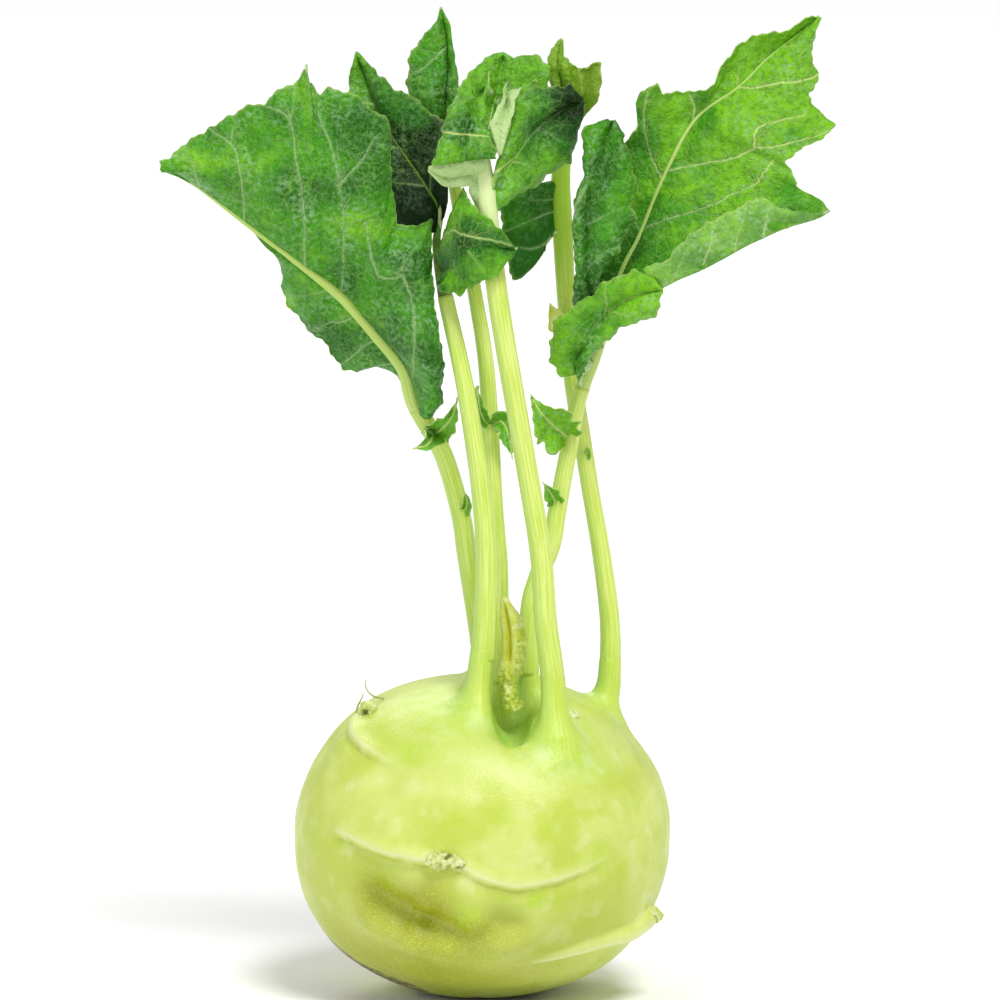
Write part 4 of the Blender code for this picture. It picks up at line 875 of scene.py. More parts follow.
def bulb_reach(directions):
    """How far the swollen stem's surface is from its centre in each direction."""
    flat = np.hypot(directions[:, 0], directions[:, 1]) / BULB_RADIUS
    up = np.abs(directions[:, 2]) / BULB_HALF_HEIGHT
    reach = (flat**BULB_ROUNDNESS + up**BULB_ROUNDNESS) ** (-1 / BULB_ROUNDNESS)
    plain = directions * reach[:, None] + BULB_CENTRE
    for place, height, width in SWELLINGS:
        reach = reach + height * bell(np.linalg.norm(plain - np.array(place), axis=1), width)
    return reach


def on_bulb(points):
    """The places on the swollen stem's surface nearest to these, and the directions out of it there."""
    directions = unit(np.asarray(points, float) - BULB_CENTRE)
    return BULB_CENTRE + directions * bulb_reach(directions)[:, None], directions


def smooth_least(first, second, width):
    """The lesser of two distances, rounded off where they come within this width of each other."""
    share = np.clip(0.5 + 0.5 * (second - first) / width, 0, 1)
    return second + (first - second) * share - width * share * (1 - share)


def around_stalk(points, stalk):
    """For each point near a stalk's foot: how far it is from the stalk's axis, its turn round it,
    and how far along it."""
    where = np.arange(-FOOT_DEPTH, FOOT_HEIGHT + 6, 1.0)
    path = stalk_path(stalk)
    heading = unit(path[1] - path[0])
    centres = at_length(path, np.maximum(where, 0)) + np.minimum(where, 0)[:, None] * heading
    across, front = frames_along(centres)
    along = np.interp(points[:, 2], centres[:, 2], where)

    def here(values):
        return np.stack([np.interp(along, where, values[:, k]) for k in range(3)], axis=-1)

    offset = points - here(centres)
    right, ahead = here(across), here(front)
    upwards = np.cross(ahead, right)
    along = along + (offset * upwards).sum(axis=1)
    sideways, forward = (offset * right).sum(axis=1), (offset * ahead).sum(axis=1)
    return np.hypot(sideways, forward), np.arctan2(forward, sideways), along


def foot_distance(points, stalk):
    """How far each point is outside the stalk's ribbed foot."""
    apart, turns, along = around_stalk(points, stalk)
    radius = stalk["radii"][0] * flared(stalk, along) * ribs(turns, along, rib_depth(along))
    radius -= JOINT_STEP * blend(along, FOOT_HEIGHT - FOOT_LAP, FOOT_HEIGHT)
    return np.maximum(apart - radius, np.maximum(along - FOOT_HEIGHT, -along - FOOT_DEPTH))


def ridge_line(ridge):
    """A leaf scar's line over the swollen stem, with the directions out of the stem, its heights and
    its radii."""
    path = smooth_path(ridge["path"], 0.5)
    surface, outwards = on_bulb(path)
    stops = lengths_along(np.array(ridge["path"], float))
    share = lengths_along(path) / length_of(path)
    heights, radii = (np.interp(share, stops / stops[-1], ridge[name]) for name in ("heights", "radii"))
    return surface, outwards, heights, radii


def skin_distance(points):
    """How far each point is outside the swollen stem with its stalks' feet and stout ridges."""
    reach = np.linalg.norm(points - BULB_CENTRE, axis=1)
    distance = reach - bulb_reach(unit(points - BULB_CENTRE))
    upper = points[:, 2] > FEET_FROM
    for stalk in STALKS.values():
        distance[upper] = smooth_least(distance[upper], foot_distance(points[upper], stalk), FILLET)
    pit = (np.linalg.norm((points[upper] - PIT_PLACE) / PIT_SIZE, axis=1) - 1) * PIT_SIZE[0]
    distance[upper] = -smooth_least(-distance[upper], pit, PIT_ROUNDING)
    for ridge in SCAR_RIDGES:
        if not ridge.get("stout"):
            continue
        surface, outwards, heights, radii = ridge_line(ridge)
        radii = 0.85 * radii
        centres = surface + outwards * (0.95 * heights - radii)[:, None]
        close = close_to(points, centres, 8)
        apart, place = nearest(points[close], centres)
        distance[close] = smooth_least(distance[close], apart - radii[place], 1.0)
    return np.maximum(distance, -points[:, 2])


def cell_faces(index, inside, axis):
    """The faces across the grid's edges along this axis that the surface cuts."""
    index, inside = np.moveaxis(index, axis, 0), np.moveaxis(inside, axis, 0)
    start, end = inside[:-1, 1:-1, 1:-1], inside[1:, 1:-1, 1:-1]
    around = [index[:, :-1, :-1], index[:, 1:, :-1], index[:, 1:, 1:], index[:, :-1, 1:]]
    if axis == 1:
        around = around[::-1]
    out = np.stack([corner[start & ~end] for corner in around], axis=-1)
    back = np.stack([corner[end & ~start] for corner in around[::-1]], axis=-1)
    return np.concatenate([out, back])


def surface_of(field, corner, step):
    """The surface where the field on this grid is 0, as even four-cornered faces."""
    inside = field < 0
    ends = (slice(None, -1), slice(1, None))
    cells = [inside[x, y, z] for x in ends for y in ends for z in ends]
    count = sum(cell.astype(int) for cell in cells)
    crossed = (count > 0) & (count < 8)
    index = np.cumsum(crossed.ravel()).reshape(crossed.shape) - 1
    total, number = np.zeros((*crossed.shape, 3)), np.zeros(crossed.shape)
    for axis in range(3):
        for first in (0, 1):
            for second in (0, 1):
                offset = np.insert(np.array([first, second]), axis, 0)
                near = field[tuple(ends[k] for k in offset)]
                offset[axis] = 1
                far = field[tuple(ends[k] for k in offset)]
                cut = (near < 0) != (far < 0)
                place = offset.astype(float) + np.zeros((*near.shape, 3))
                place[..., axis] = near / np.where(cut, near - far, 1)
                total += place * cut[..., None]
                number += cut
    middle = total[crossed] / number[crossed][:, None]
    points = corner + step * (np.argwhere(crossed) + middle)
    return Shape(points, np.concatenate([cell_faces(index, inside, axis) for axis in range(3)]))


def edges_of(shape):
    return np.concatenate([shape.faces[:, [k, (k + 1) % 4]] for k in range(4)])


def evened(shape):
    """The shape's points, each moved halfway to the middle of its neighbours."""
    start, end = edges_of(shape).T
    count = np.bincount(start, minlength=len(shape.points))
    middle = [np.bincount(start, values[end], len(values)) / count for values in shape.points.T]
    return 0.5 * shape.points + 0.5 * np.stack(middle, axis=-1)


def normals_of(shape):
    """The direction out of the shape at each point."""
    corners = shape.points[shape.faces]
    facing = np.cross(corners[:, 2] - corners[:, 0], corners[:, 3] - corners[:, 1])
    total = np.zeros_like(shape.points)
    for k in range(4):
        for axis in range(3):
            total[:, axis] += np.bincount(shape.faces[:, k], facing[:, axis], len(shape.points))
    return unit(total)


def plain_skin():
    """The swollen stem and its stalks' feet as one smooth skin."""
    reach = BULB_RADIUS + 4
    corner = np.array([-reach, -reach, -3 * SKIN_STEP])
    count = [round(side / SKIN_STEP) for side in (2 * reach, 2 * reach, SKIN_TOP)]
    grid = corner + SKIN_STEP * grid_places(count)
    offset = (grid - BULB_CENTRE) / (BULB_RADIUS, BULB_RADIUS, BULB_HALF_HEIGHT)
    depth = np.linalg.norm(offset, axis=-1)
    close = ((depth > 0.8) & (depth < 1.22)) | (grid[..., 2] > FEET_FROM)
    field = np.where(depth < 1, -FAR_OFF, FAR_OFF)
    field[close] = skin_distance(grid[close])
    skin = surface_of(field, corner, SKIN_STEP)
    for _ in range(SKIN_PASSES):
        skin.points = evened(skin)
        skin.points = skin.points - normals_of(skin) * skin_distance(skin.points)[:, None]
    return skin


def lip(side):
    """A leaf scar's section: the skin above rises gently to its lip and drops away steeply below."""
    above = bell(side, 2.3) * (side >= 0)
    below = bell(side, 1.4) * (side < 0)
    return above + below - 0.3 * bell(side + 2.8, 1.4)


def scar_marks(points, ridge):
    """How far each point is above a leaf scar's line, and how high the scar stands there."""
    surface, outwards, heights, radii = ridge_line(ridge)
    close = close_to(points, surface, SCAR_REACH)
    side, height = np.full(len(points), SCAR_REACH), np.zeros(len(points))
    apart, place = nearest(points[close], surface)
    upwards = unit(np.cross(unit(np.gradient(surface, axis=0)), outwards))
    upwards *= np.where(upwards[:, 2:] < 0, -1, 1)
    above = ((points[close] - surface[place]) * upwards[place]).sum(axis=1)
    share = place / len(surface)
    ends = blend(np.minimum(share, 1 - share), 0, 0.08)
    side[close] = above
    if ridge.get("stout"):
        side[close] *= STOUT_EDGE / radii[place]
    height[close] = heights[place] * ends * blend(apart, 7.5, 4.5)
    return side, height


def crumb_shape(place, size, flat, seed):
    """A rough corky lump on the swollen stem."""
    surface, outwards = on_bulb([place])
    heights = np.linspace(-math.pi / 2, math.pi / 2, CRUMB_ROWS)[:, None]
    turns = np.linspace(0, 2 * math.pi, CRUMB_SIDES + 1)[None, :-1]
    level = np.cos(heights)
    ball = [level * np.cos(turns), level * np.sin(turns), np.sin(heights) + 0 * turns]
    ball = np.stack(ball, axis=-1)
    upwards = outwards[0]
    sideways = unit(np.cross((0, 0, 1), upwards))
    ahead = np.cross(upwards, sideways)
    points = ball @ (np.array([sideways, ahead * 0.62, upwards * flat]) * size)
    rough = 0.16 * ripple(points, 3.4, seed) + 0.10 * ripple(points, 1.7, seed + 1)
    rough = rough + 0.07 * ripple(points, 0.8, seed + 2)
    points = surface[0] + points * (1 + rough[..., None])
    index = np.arange(ball[..., 0].size).reshape(ball.shape[:2])
    closed = np.concatenate([index, index[:, :1]], axis=1)
    # Darker in the lump's dips: partly the cork's own cracks, partly painted shade.
    crevice = blend(-rough, 0.02, 0.18)
    return Shape(points, grid_faces(closed)[:, ::-1], cork=np.ones(index.size), crevice=crevice.ravel())


def hair_shape(path):
    """A thin dry hair that narrows towards its tip."""
    line = smooth_path(path, 0.3)
    radii = np.linspace(HAIR_RADIUS, HAIR_RADIUS * 0.4, len(line))
    shape = tube(line, radii, HAIR_SIDES, np.zeros(len(line)), np.zeros(len(line)))
    shape.marks = dict(cork=np.ones(len(shape.points)), crevice=np.full(len(shape.points), 0.5))
    return shape


def spots_at(points, spots):
    """How strongly each point lies in these spots, up to 1."""
    shares = [much * bell(np.linalg.norm(points - place, axis=1), width) for place, much, width in spots]
    return np.clip(sum(shares), 0, 1)


def scar_relief(points):
    """How far the skin's soft unevenness and its scars raise each point, with how far it is above the
    nearest scar's line and how high that scar stands."""
    raised = 0.10 * ripple(points, 9.0, 1) + 0.25 * ripple(points, 24.0, 2)
    scar_side, scar_height = np.full(len(points), SCAR_REACH), np.zeros(len(points))
    for number, ridge in enumerate(SCAR_RIDGES):
        side, height = scar_marks(points, ridge)
        side = side + 0.12 * ripple(points, 2.5, 30 + number)
        if not ridge.get("stout"):
            raised += lip(side) * height
        nearer = height * bell(side, 3) > scar_height * bell(scar_side, 3)
        scar_side = np.where(nearer, side, scar_side)
        scar_height = np.where(nearer, height, scar_height)
    return raised, scar_side, scar_height


def bulb_piece(finish):
    """The swollen stem with its scars, its corky crumbs and its hairs."""
    skin = plain_skin()
    outwards = normals_of(skin)
    points = skin.points
    raised, scar_side, scar_height = scar_relief(points)
    around = [around_stalk(points, stalk) for stalk in STALKS.values()]
    gaps = np.array([foot_distance(points, stalk) for stalk in STALKS.values()])
    gaps[:, points[:, 2] < FEET_FROM] = 99
    foot = gaps.argmin(axis=0)
    apart = np.maximum(gaps.min(axis=0), 0)
    share = bell(apart, 3.0)
    turn = np.choose(foot, [turns for _, turns, _ in around])
    raised *= blend(points[:, 2], 1.0, 4.0) * (1 - share)
    skin.points = points + outwards * raised[:, None]
    edge = nearest(points, on_bulb(smooth_path(BARK_LINE, 1.0))[0])[0] + 0.7 * ripple(points, 3.0, 11)
    height = points[:, 2] + 0.6 * ripple(points, 5.0, 12)
    pit = np.linalg.norm((points - PIT_PLACE) / (PIT_SIZE * 1.12), axis=1)
    skin.marks = dict(
        scar_side=scar_side,
        scar_height=scar_height,
        stalk=0.6 * bell(apart, 3.0) + 0.4 * bell(apart, 11.0),
        turn_x=np.cos(turn),
        turn_y=np.sin(turn),
        along=np.choose(foot, [along for _, _, along in around]),
        # Painted shade: a deeper green in the pit between the stalks' feet.
        pit=blend(pit, 1.05, 0.85),
        # Olive in the hollows and low down: partly the skin's own green, partly painted shade.
        olive=spots_at(points, OLIVE_SHADE_SPOTS),
        lime=spots_at(points, LIME_SPOTS),
        bark=np.maximum(blend(edge, 6.5, 5.2), blend(height, 1.7, 0.7)),
    )
    lumps = [crumb_shape(place, size, flat, 40 + 3 * k) for k, (place, size, flat) in enumerate(CRUMBS)]
    hairs = [hair_shape(path) for path in HAIRS]
    dress(new_piece("bulb_skin", joined([skin, *lumps, *hairs]), finish), "bulb_skin", "bulb")


# --- the withered stub --------------------------------------------------------------------------


def stub_piece(finish):
    """A curled, withered sheath: folded in along its left, and granular on its right and low down."""
    path = smooth_path(STUB_PATH, 0.5)
    where = np.arange(0, length_of(path), 0.25)
    centres = at_length(path, where)
    radii = np.interp(where, np.linspace(0, where[-1], len(STUB_RADII)), STUB_RADII)
    shape = tube(centres, radii, STUB_SIDES, np.full(len(where), 0.05), where)
    row = nearest(shape.points, centres)[1]
    inwards = unit(centres[row] - shape.points + 1e-6)
    share = where[row] / where[-1]
    turns = np.arctan2(shape.marks["turn_y"], shape.marks["turn_x"])
    fold = bell(np.angle(np.exp(1j * (turns - 2.0))), 0.45)
    fold = fold * blend(share, 0.36, 0.5) * blend(share, 1.0, 0.85)
    rightwards = blend(np.cos(turns - 0.3), 0.35, 0.8) * blend(share, 0.95, 0.6)
    grainy = np.maximum(rightwards, blend(share, 0.42, 0.3))
    grains = np.abs(ripple(shape.points, 1.5, 5)) + 0.5 * np.abs(ripple(shape.points, 0.8, 6))
    grains = np.minimum(grains, 1.4)
    shape.points = shape.points + inwards * (1.5 * fold - 0.55 * grains * grainy)[:, None]
    shape.points += 0.2 * ripple(shape.points, 4.0, 7)[:, None] * inwards
    # pit paints shade in the dips between the grains.
    shape.marks = dict(fold=fold, grainy=grainy, pit=0.7 * grainy * blend(grains, 0.22, 0.05))
    dress(new_piece("stub_skin", shape, finish), "dry_leaf", "stub")


# --- leaves -------------------------------------------------------------------------------------


def sheet_normals(grid):
    """The sheet's direction at each grid point, evened out between neighbours."""
    normals = unit(np.cross(np.gradient(grid, axis=0), np.gradient(grid, axis=1)))
    for _ in range(3):
        padded = np.pad(normals, ((1, 1), (1, 1), (0, 0)), mode="edge")
        shifts = [(i, j) for i in range(3) for j in range(3)]
        normals = sum(padded[i : i + len(grid), j : j + grid.shape[1]] for i, j in shifts)
    normals = unit(normals)
    return -normals if normals[..., 1].mean() > 0 else normals


def sheet(grid, thickness, **marks):
    """A closed sheet over a grid of points, with its front towards -Y on the whole. thickness and the
    marks have a value for each grid point. The mark under is 1 on the sheet's back."""
    half = sheet_normals(grid) * thickness[..., None] / 2
    index = np.arange(grid.shape[0] * grid.shape[1]).reshape(grid.shape[:2])
    behind = index + index.size
    rim = np.concatenate([index[:, 0], index[-1, 1:], index[-2::-1, -1], index[0, -2::-1]])
    faces = [grid_faces(index), grid_faces(behind)[:, ::-1]]
    faces.append(np.stack([rim[:-1], rim[:-1] + index.size, rim[1:] + index.size, rim[1:]], axis=-1))
    across, along = np.gradient(grid, axis=1), np.gradient(grid, axis=0)
    if (np.cross(along, across) * half).sum() > 0:
        faces = [part[:, ::-1] for part in faces]
    both = {name: np.concatenate([values.ravel(), values.ravel()]) for name, values in marks.items()}
    under = np.concatenate([np.zeros(index.size), np.ones(index.size)])
    points = np.concatenate([(grid + half).reshape(-1, 3), (grid - half).reshape(-1, 3)])
    return Shape(points, np.concatenate(faces), under=under, **both)


def margin_at(stations, where):
    """The margin's point at each place in where along the midline."""
    stations = np.array(stations, float)
    return np.stack([np.interp(where, stations[:, 0], stations[:, k]) for k in (1, 2, 3)], axis=-1)


def even_rows(midline, lobe):
    """Where the cross rows lie along the midline, so that rows are nowhere far apart."""
    fine = np.linspace(0, 1, 3000)
    lines = [at_share(midline, fine)]
    lines += [margin_at(lobe[side], fine) for side in ("left", "right")]
    steps = np.max([np.linalg.norm(np.diff(line, axis=0), axis=1) for line in lines], axis=0)
    travelled = np.concatenate([[0], np.cumsum(steps)])
    even = np.linspace(0, travelled[-1], round(travelled[-1] / BLADE_STEP) + 1)
    return np.interp(even, travelled, fine)


def toothed(margin, middle, draw):
    """The margin with fine uneven teeth, which fade where the lobe is narrow."""
    offset = margin - middle
    run = lengths_along(margin)
    phase = draw.uniform(0, 6, 3)
    teeth = 0.32 * np.sin(run / 1.0 + 2.2 * np.sin(run / 5.3 + phase[0]) + phase[1])
    teeth += 0.22 * np.sin(run / 0.45 + phase[2]) - 0.3
    return margin + unit(offset) * (teeth * blend(np.linalg.norm(offset, axis=1), 1, 5))[:, None]


def half_lobe(lobe, side, crown, rows, midline, columns, draw):
    """One side of a lobe, from its midline out to its margin, with its waves and ruffled edge."""
    middle = at_share(midline, rows)
    margin = toothed(margin_at(lobe[side], rows), middle, draw)
    run = lengths_along(margin)
    spread = np.linspace(0, 1, columns + 1)
    half = middle[:, None] + (margin - middle)[:, None] * spread[None, :, None]
    half[:, :, 1] -= crown * 4 * (spread * (1 - spread))[None]
    waves = np.sin(2 * math.pi * rows * length_of(midline) / WAVE_LENGTH) * np.sin(math.pi * rows)
    half[:, :, 1] += lobe.get("wave", 0) * waves[:, None] * (spread**2)[None]
    width = np.linalg.norm(margin - middle, axis=1)
    ruffle = np.sin(run / 2.2 + 1.5 * np.sin(run / 7.0)) * blend(width, 2, 8)
    half[:, :, 1] += 0.5 * ruffle[:, None] * blend(spread, 0.72, 1.0)[None]
    return half


def sample(grid, place):
    """The grid's value at each place, given as fractions of rows and columns."""
    last = np.array(grid.shape[:2]) - 1
    place = np.clip(place, 0, last - 1e-6)
    low = place.astype(int)
    part = place - low
    total = 0
    for down in (0, 1):
        for over in (0, 1):
            weight = np.abs(1 - down - part[:, 0]) * np.abs(1 - over - part[:, 1])
            total = total + grid[low[:, 0] + down, low[:, 1] + over] * weight[:, None]
    return total


def twigs_of(line, draw):
    """Fine side veins that leave a main vein to either side."""
    twigs = []
    turn = draw.choice([-1, 1])
    for start in np.arange(5, len(line) - 4, draw.integers(7, 10)):
        turn = -turn
        heading = unit(line[start] - line[start - 3])
        angle = turn * draw.uniform(0.7, 1.1)
        reach = draw.uniform(5, 11)
        steps = np.linspace(0, 1, 14)[:, None]
        bend = angle + turn * draw.uniform(-0.5, 0.2) * steps
        down = np.cos(bend) * heading[0] - np.sin(bend) * heading[1]
        over = np.sin(bend) * heading[0] + np.cos(bend) * heading[1]
        twigs.append(line[start] + np.concatenate([down, over], axis=1) * steps * reach)
    return twigs


def vein_marks(half, lines, width):
    """For each point of half a lobe: how far it is to one side of the nearest vein, and how near and
    strong that vein is."""
    place = grid_places(half.shape[:2]).reshape(-1, 2)
    points = half.reshape(-1, 3)
    side, near = np.full(len(points), VEIN_REACH), np.zeros(len(points))
    for line, strength in lines:
        apart, which = nearest(points, sample(half, line))
        heading = np.gradient(line, axis=0)[which]
        offset = place - line[which]
        turn = np.where(offset[:, 0] * heading[:, 1] > offset[:, 1] * heading[:, 0], 1, -1)
        mark = strength * (1 - 0.5 * which / len(line)) * bell(apart, width)
        side = np.where(mark > near, turn * np.minimum(apart, VEIN_REACH), side)
        near = np.maximum(mark, near)
    return side.reshape(half.shape[:2]), near.reshape(half.shape[:2])


def veined(half, veins, rows, draw):
    """Half a lobe with its blade puffed up between the veins and creased along them, and its marks."""
    columns = half.shape[1] - 1
    mains, twigs = [], []
    for vein in veins:
        places, shares = np.transpose(vein["course"])
        places = np.interp(places, rows, np.arange(len(rows)))
        line = smooth_path(np.stack([places, shares * columns, 0 * shares], axis=-1), 1.0)[:, :2]
        mains.append((line, vein["strength"]))
        twigs += [(twig, 0.6 * vein["strength"]) for twig in twigs_of(line, draw)]
        if vein["crease"]:
            apart = nearest(half.reshape(-1, 3), sample(half, line))[0].reshape(half.shape[:2])
            fade = blend(np.arange(columns + 1) / columns, 0, 0.3)[None]
            half[:, :, 1] -= vein["crease"] * np.exp(-apart / 7.0) * fade
    side, near = vein_marks(half, mains, VEIN_WIDTH)
    twig_side, twig_near = vein_marks(half, twigs, TWIG_WIDTH)
    broad = vein_marks(half, mains, PUFF_WIDTH)[1]
    twig = dict(twig_side=twig_side, twig_near=twig_near)
    return dict(vein_side=side, vein_near=near, vein_broad=broad, **twig)


def lobe_marks(lobe, sides, rows, columns, distance):
    """The marks of a lobe's grid: those of its two sides, a vein along its midline, and its looks."""
    left, right = sides
    marks = {name: np.concatenate([left[name][:, ::-1], right[name][:, 1:]], axis=1) for name in left}
    signs = np.sign(np.linspace(-1, 1, 2 * columns + 1))[None]
    midvein = lobe.get("midvein", 0) * bell(distance, VEIN_WIDTH)
    marks["vein_side"] = np.where(midvein > marks["vein_near"], signs * distance, marks["vein_side"])
    marks["vein_near"] = np.maximum(midvein, marks["vein_near"])
    # Painted light and shade, and pale bloom that is partly painted sheen, from the lobe's base to its tip.
    for name in ("bright", "dust"):
        marks[name] = np.interp(rows, (0, 1), lobe.get(name, (0, 0)))[:, None] + 0 * distance
    for name in ("pale", "dry"):
        marks[name] = np.full(distance.shape, lobe.get(name, 0.0))
    return marks


def lobe_shape(lobe, seed):
    """A lobe's sheet, with its veins, folds, waves and margin teeth."""
    draw = np.random.default_rng(seed)
    midline = smooth_path(lobe["mid"], 0.5)
    rows = even_rows(midline, lobe)
    middle = at_share(midline, rows)
    margins = [margin_at(lobe[side], rows) for side in ("left", "right")]
    widest = max(np.linalg.norm(margin - middle, axis=1).max() for margin in margins)
    columns = max(6, round(widest / BLADE_STEP))
    halves, sides = [], []
    for side, crown in zip(("left", "right"), lobe["crown"]):
        half = half_lobe(lobe, side, crown, rows, midline, columns, draw)
        sides.append(veined(half, lobe.get(f"{side}_veins", []), rows, draw))
        halves.append(half)
    grid = np.concatenate([halves[0][:, ::-1], halves[1][:, 1:]], axis=1)
    out = np.abs(np.linspace(-1, 1, 2 * columns + 1))[None] + np.zeros((len(rows), 1))
    width = np.linalg.norm(grid - middle[:, None], axis=2).max(axis=1)
    distance = out * columns * BLADE_STEP * np.minimum(1, width / widest)[:, None]
    marks = lobe_marks(lobe, sides, rows, columns, distance)
    puff = 0.9 * (1 - marks["vein_broad"]) * blend(distance, 0, 5) * blend(out, 1.0, 0.7)
    puff += (0.35 * ripple(grid, 6.0, seed) + 0.5 * ripple(grid, 15.0, seed + 1)) * blend(distance, 0, 3)
    grid = grid + sheet_normals(grid) * puff[..., None]
    thickness = BLADE_THICKNESS * (1 - 0.45 * blend(out, 0.6, 1)) + 0.25 * marks["vein_near"]
    # middle is 1 along the midline, where the blade is painted a little darker as shade.
    return sheet(grid, thickness, rim=blend(out, 1 - 1.3 / columns, 1), middle=bell(distance, 5.0), **marks)


def leaf_piece(key, stalk, finish, seed):
    """A leaf: its midrib, which runs on from the stalk, with its lobes."""
    path = stalk_path(stalk)
    start = length_at(path, stalk["leaf_at"])
    where = np.arange(start, length_of(path) - MIDRIB_END, STALK_STEP)
    share = (where - start) / (where[-1] - start)
    radii = np.interp(share, np.linspace(0, 1, len(stalk["midrib"])), stalk["midrib"])
    midrib = tube(at_length(path, where), radii, MIDRIB_SIDES, rib_depth(where), where)
    tint, ripeness, paleness = stalk["rib_tints"]
    midrib.marks["rib"] = np.full(len(midrib.points), tint)
    midrib.marks["pale"] = np.full(len(midrib.points), paleness)
    midrib.marks["ripe"] = ripeness * blend(midrib.marks["along"], where[0] - 5, where[0] + 20)
    lobes = [lobe_shape(lobe, seed + 10 * number) for (leaf, number), lobe in LOBES.items() if leaf == key]
    dress(new_piece(f"leaf_{key}_blade", joined([midrib, *lobes]), finish), stalk["slot"], f"leaf_{key}")


def tuft_shape(midline, half_width, seed):
    """A cupped, pointed little blade with a crinkled margin along the midline."""
    path = smooth_path(midline, 0.5)
    rows = np.linspace(0, 1, max(16, round(length_of(path) / TUFT_STEP)))
    run = rows * length_of(path)
    centres = at_length(path, run)
    across, front = frames_along(centres)
    widths = half_width * np.maximum(0.15, np.sin(math.pi * rows**0.8)) * (1 - rows**6)
    widths *= 1 + 0.14 * np.sin(run / 0.8 + 1.5 * np.sin(run / 2.3 + seed)) + 0.08 * np.sin(run / 0.35)
    columns = np.linspace(-1, 1, max(13, 2 * round(half_width / TUFT_STEP) + 1))
    sideways = columns[None, :, None] * widths[:, None, None] * across[:, None]
    cup = (columns**2)[None, :, None] * widths[:, None, None] * TUFT_CUP * front[:, None]
    ruffle = 0.14 * half_width * np.sin(run[:, None] / 0.9 + seed + 2 * np.sign(columns))
    cup = cup + (ruffle * np.abs(columns) ** 3)[..., None] * front[:, None]
    grid = centres[:, None] + sideways + cup
    grid = grid + sheet_normals(grid) * (0.35 * ripple(grid, 4.0, seed))[..., None]
    out = np.abs(columns)[None] + 0 * rows[:, None]
    side = columns[None] * widths[:, None]
    marks = dict(vein_side=side, vein_near=bell(side, VEIN_WIDTH), rim=blend(out, 0.85, 1))
    # Painted light: the tufts are painted brighter, with pale bloom that is partly painted sheen.
    looks = dict(bright=np.full(out.shape, 1.0), dust=np.full(out.shape, 0.6))
    return sheet(grid, 0.45 - 0.15 * out, **marks, **looks)


def leaflet_piece(name, tufts, finish, slot, seed):
    shapes = [tuft_shape(*tuft, seed + k) for k, tuft in enumerate(tufts)]
    dress(new_piece(f"{name}_blade", joined(shapes), finish), slot, name)


# --- finishes -----------------------------------------------------------------------------------


def colour(red, green, blue):
    """A colour given by its screen values from 0 to 255, as light."""
    values = np.array([red, green, blue]) / 255
    light = np.where(values <= 0.04045, values / 12.92, ((values + 0.055) / 1.055) ** 2.4)
    return (*map(float, light), 1.0)


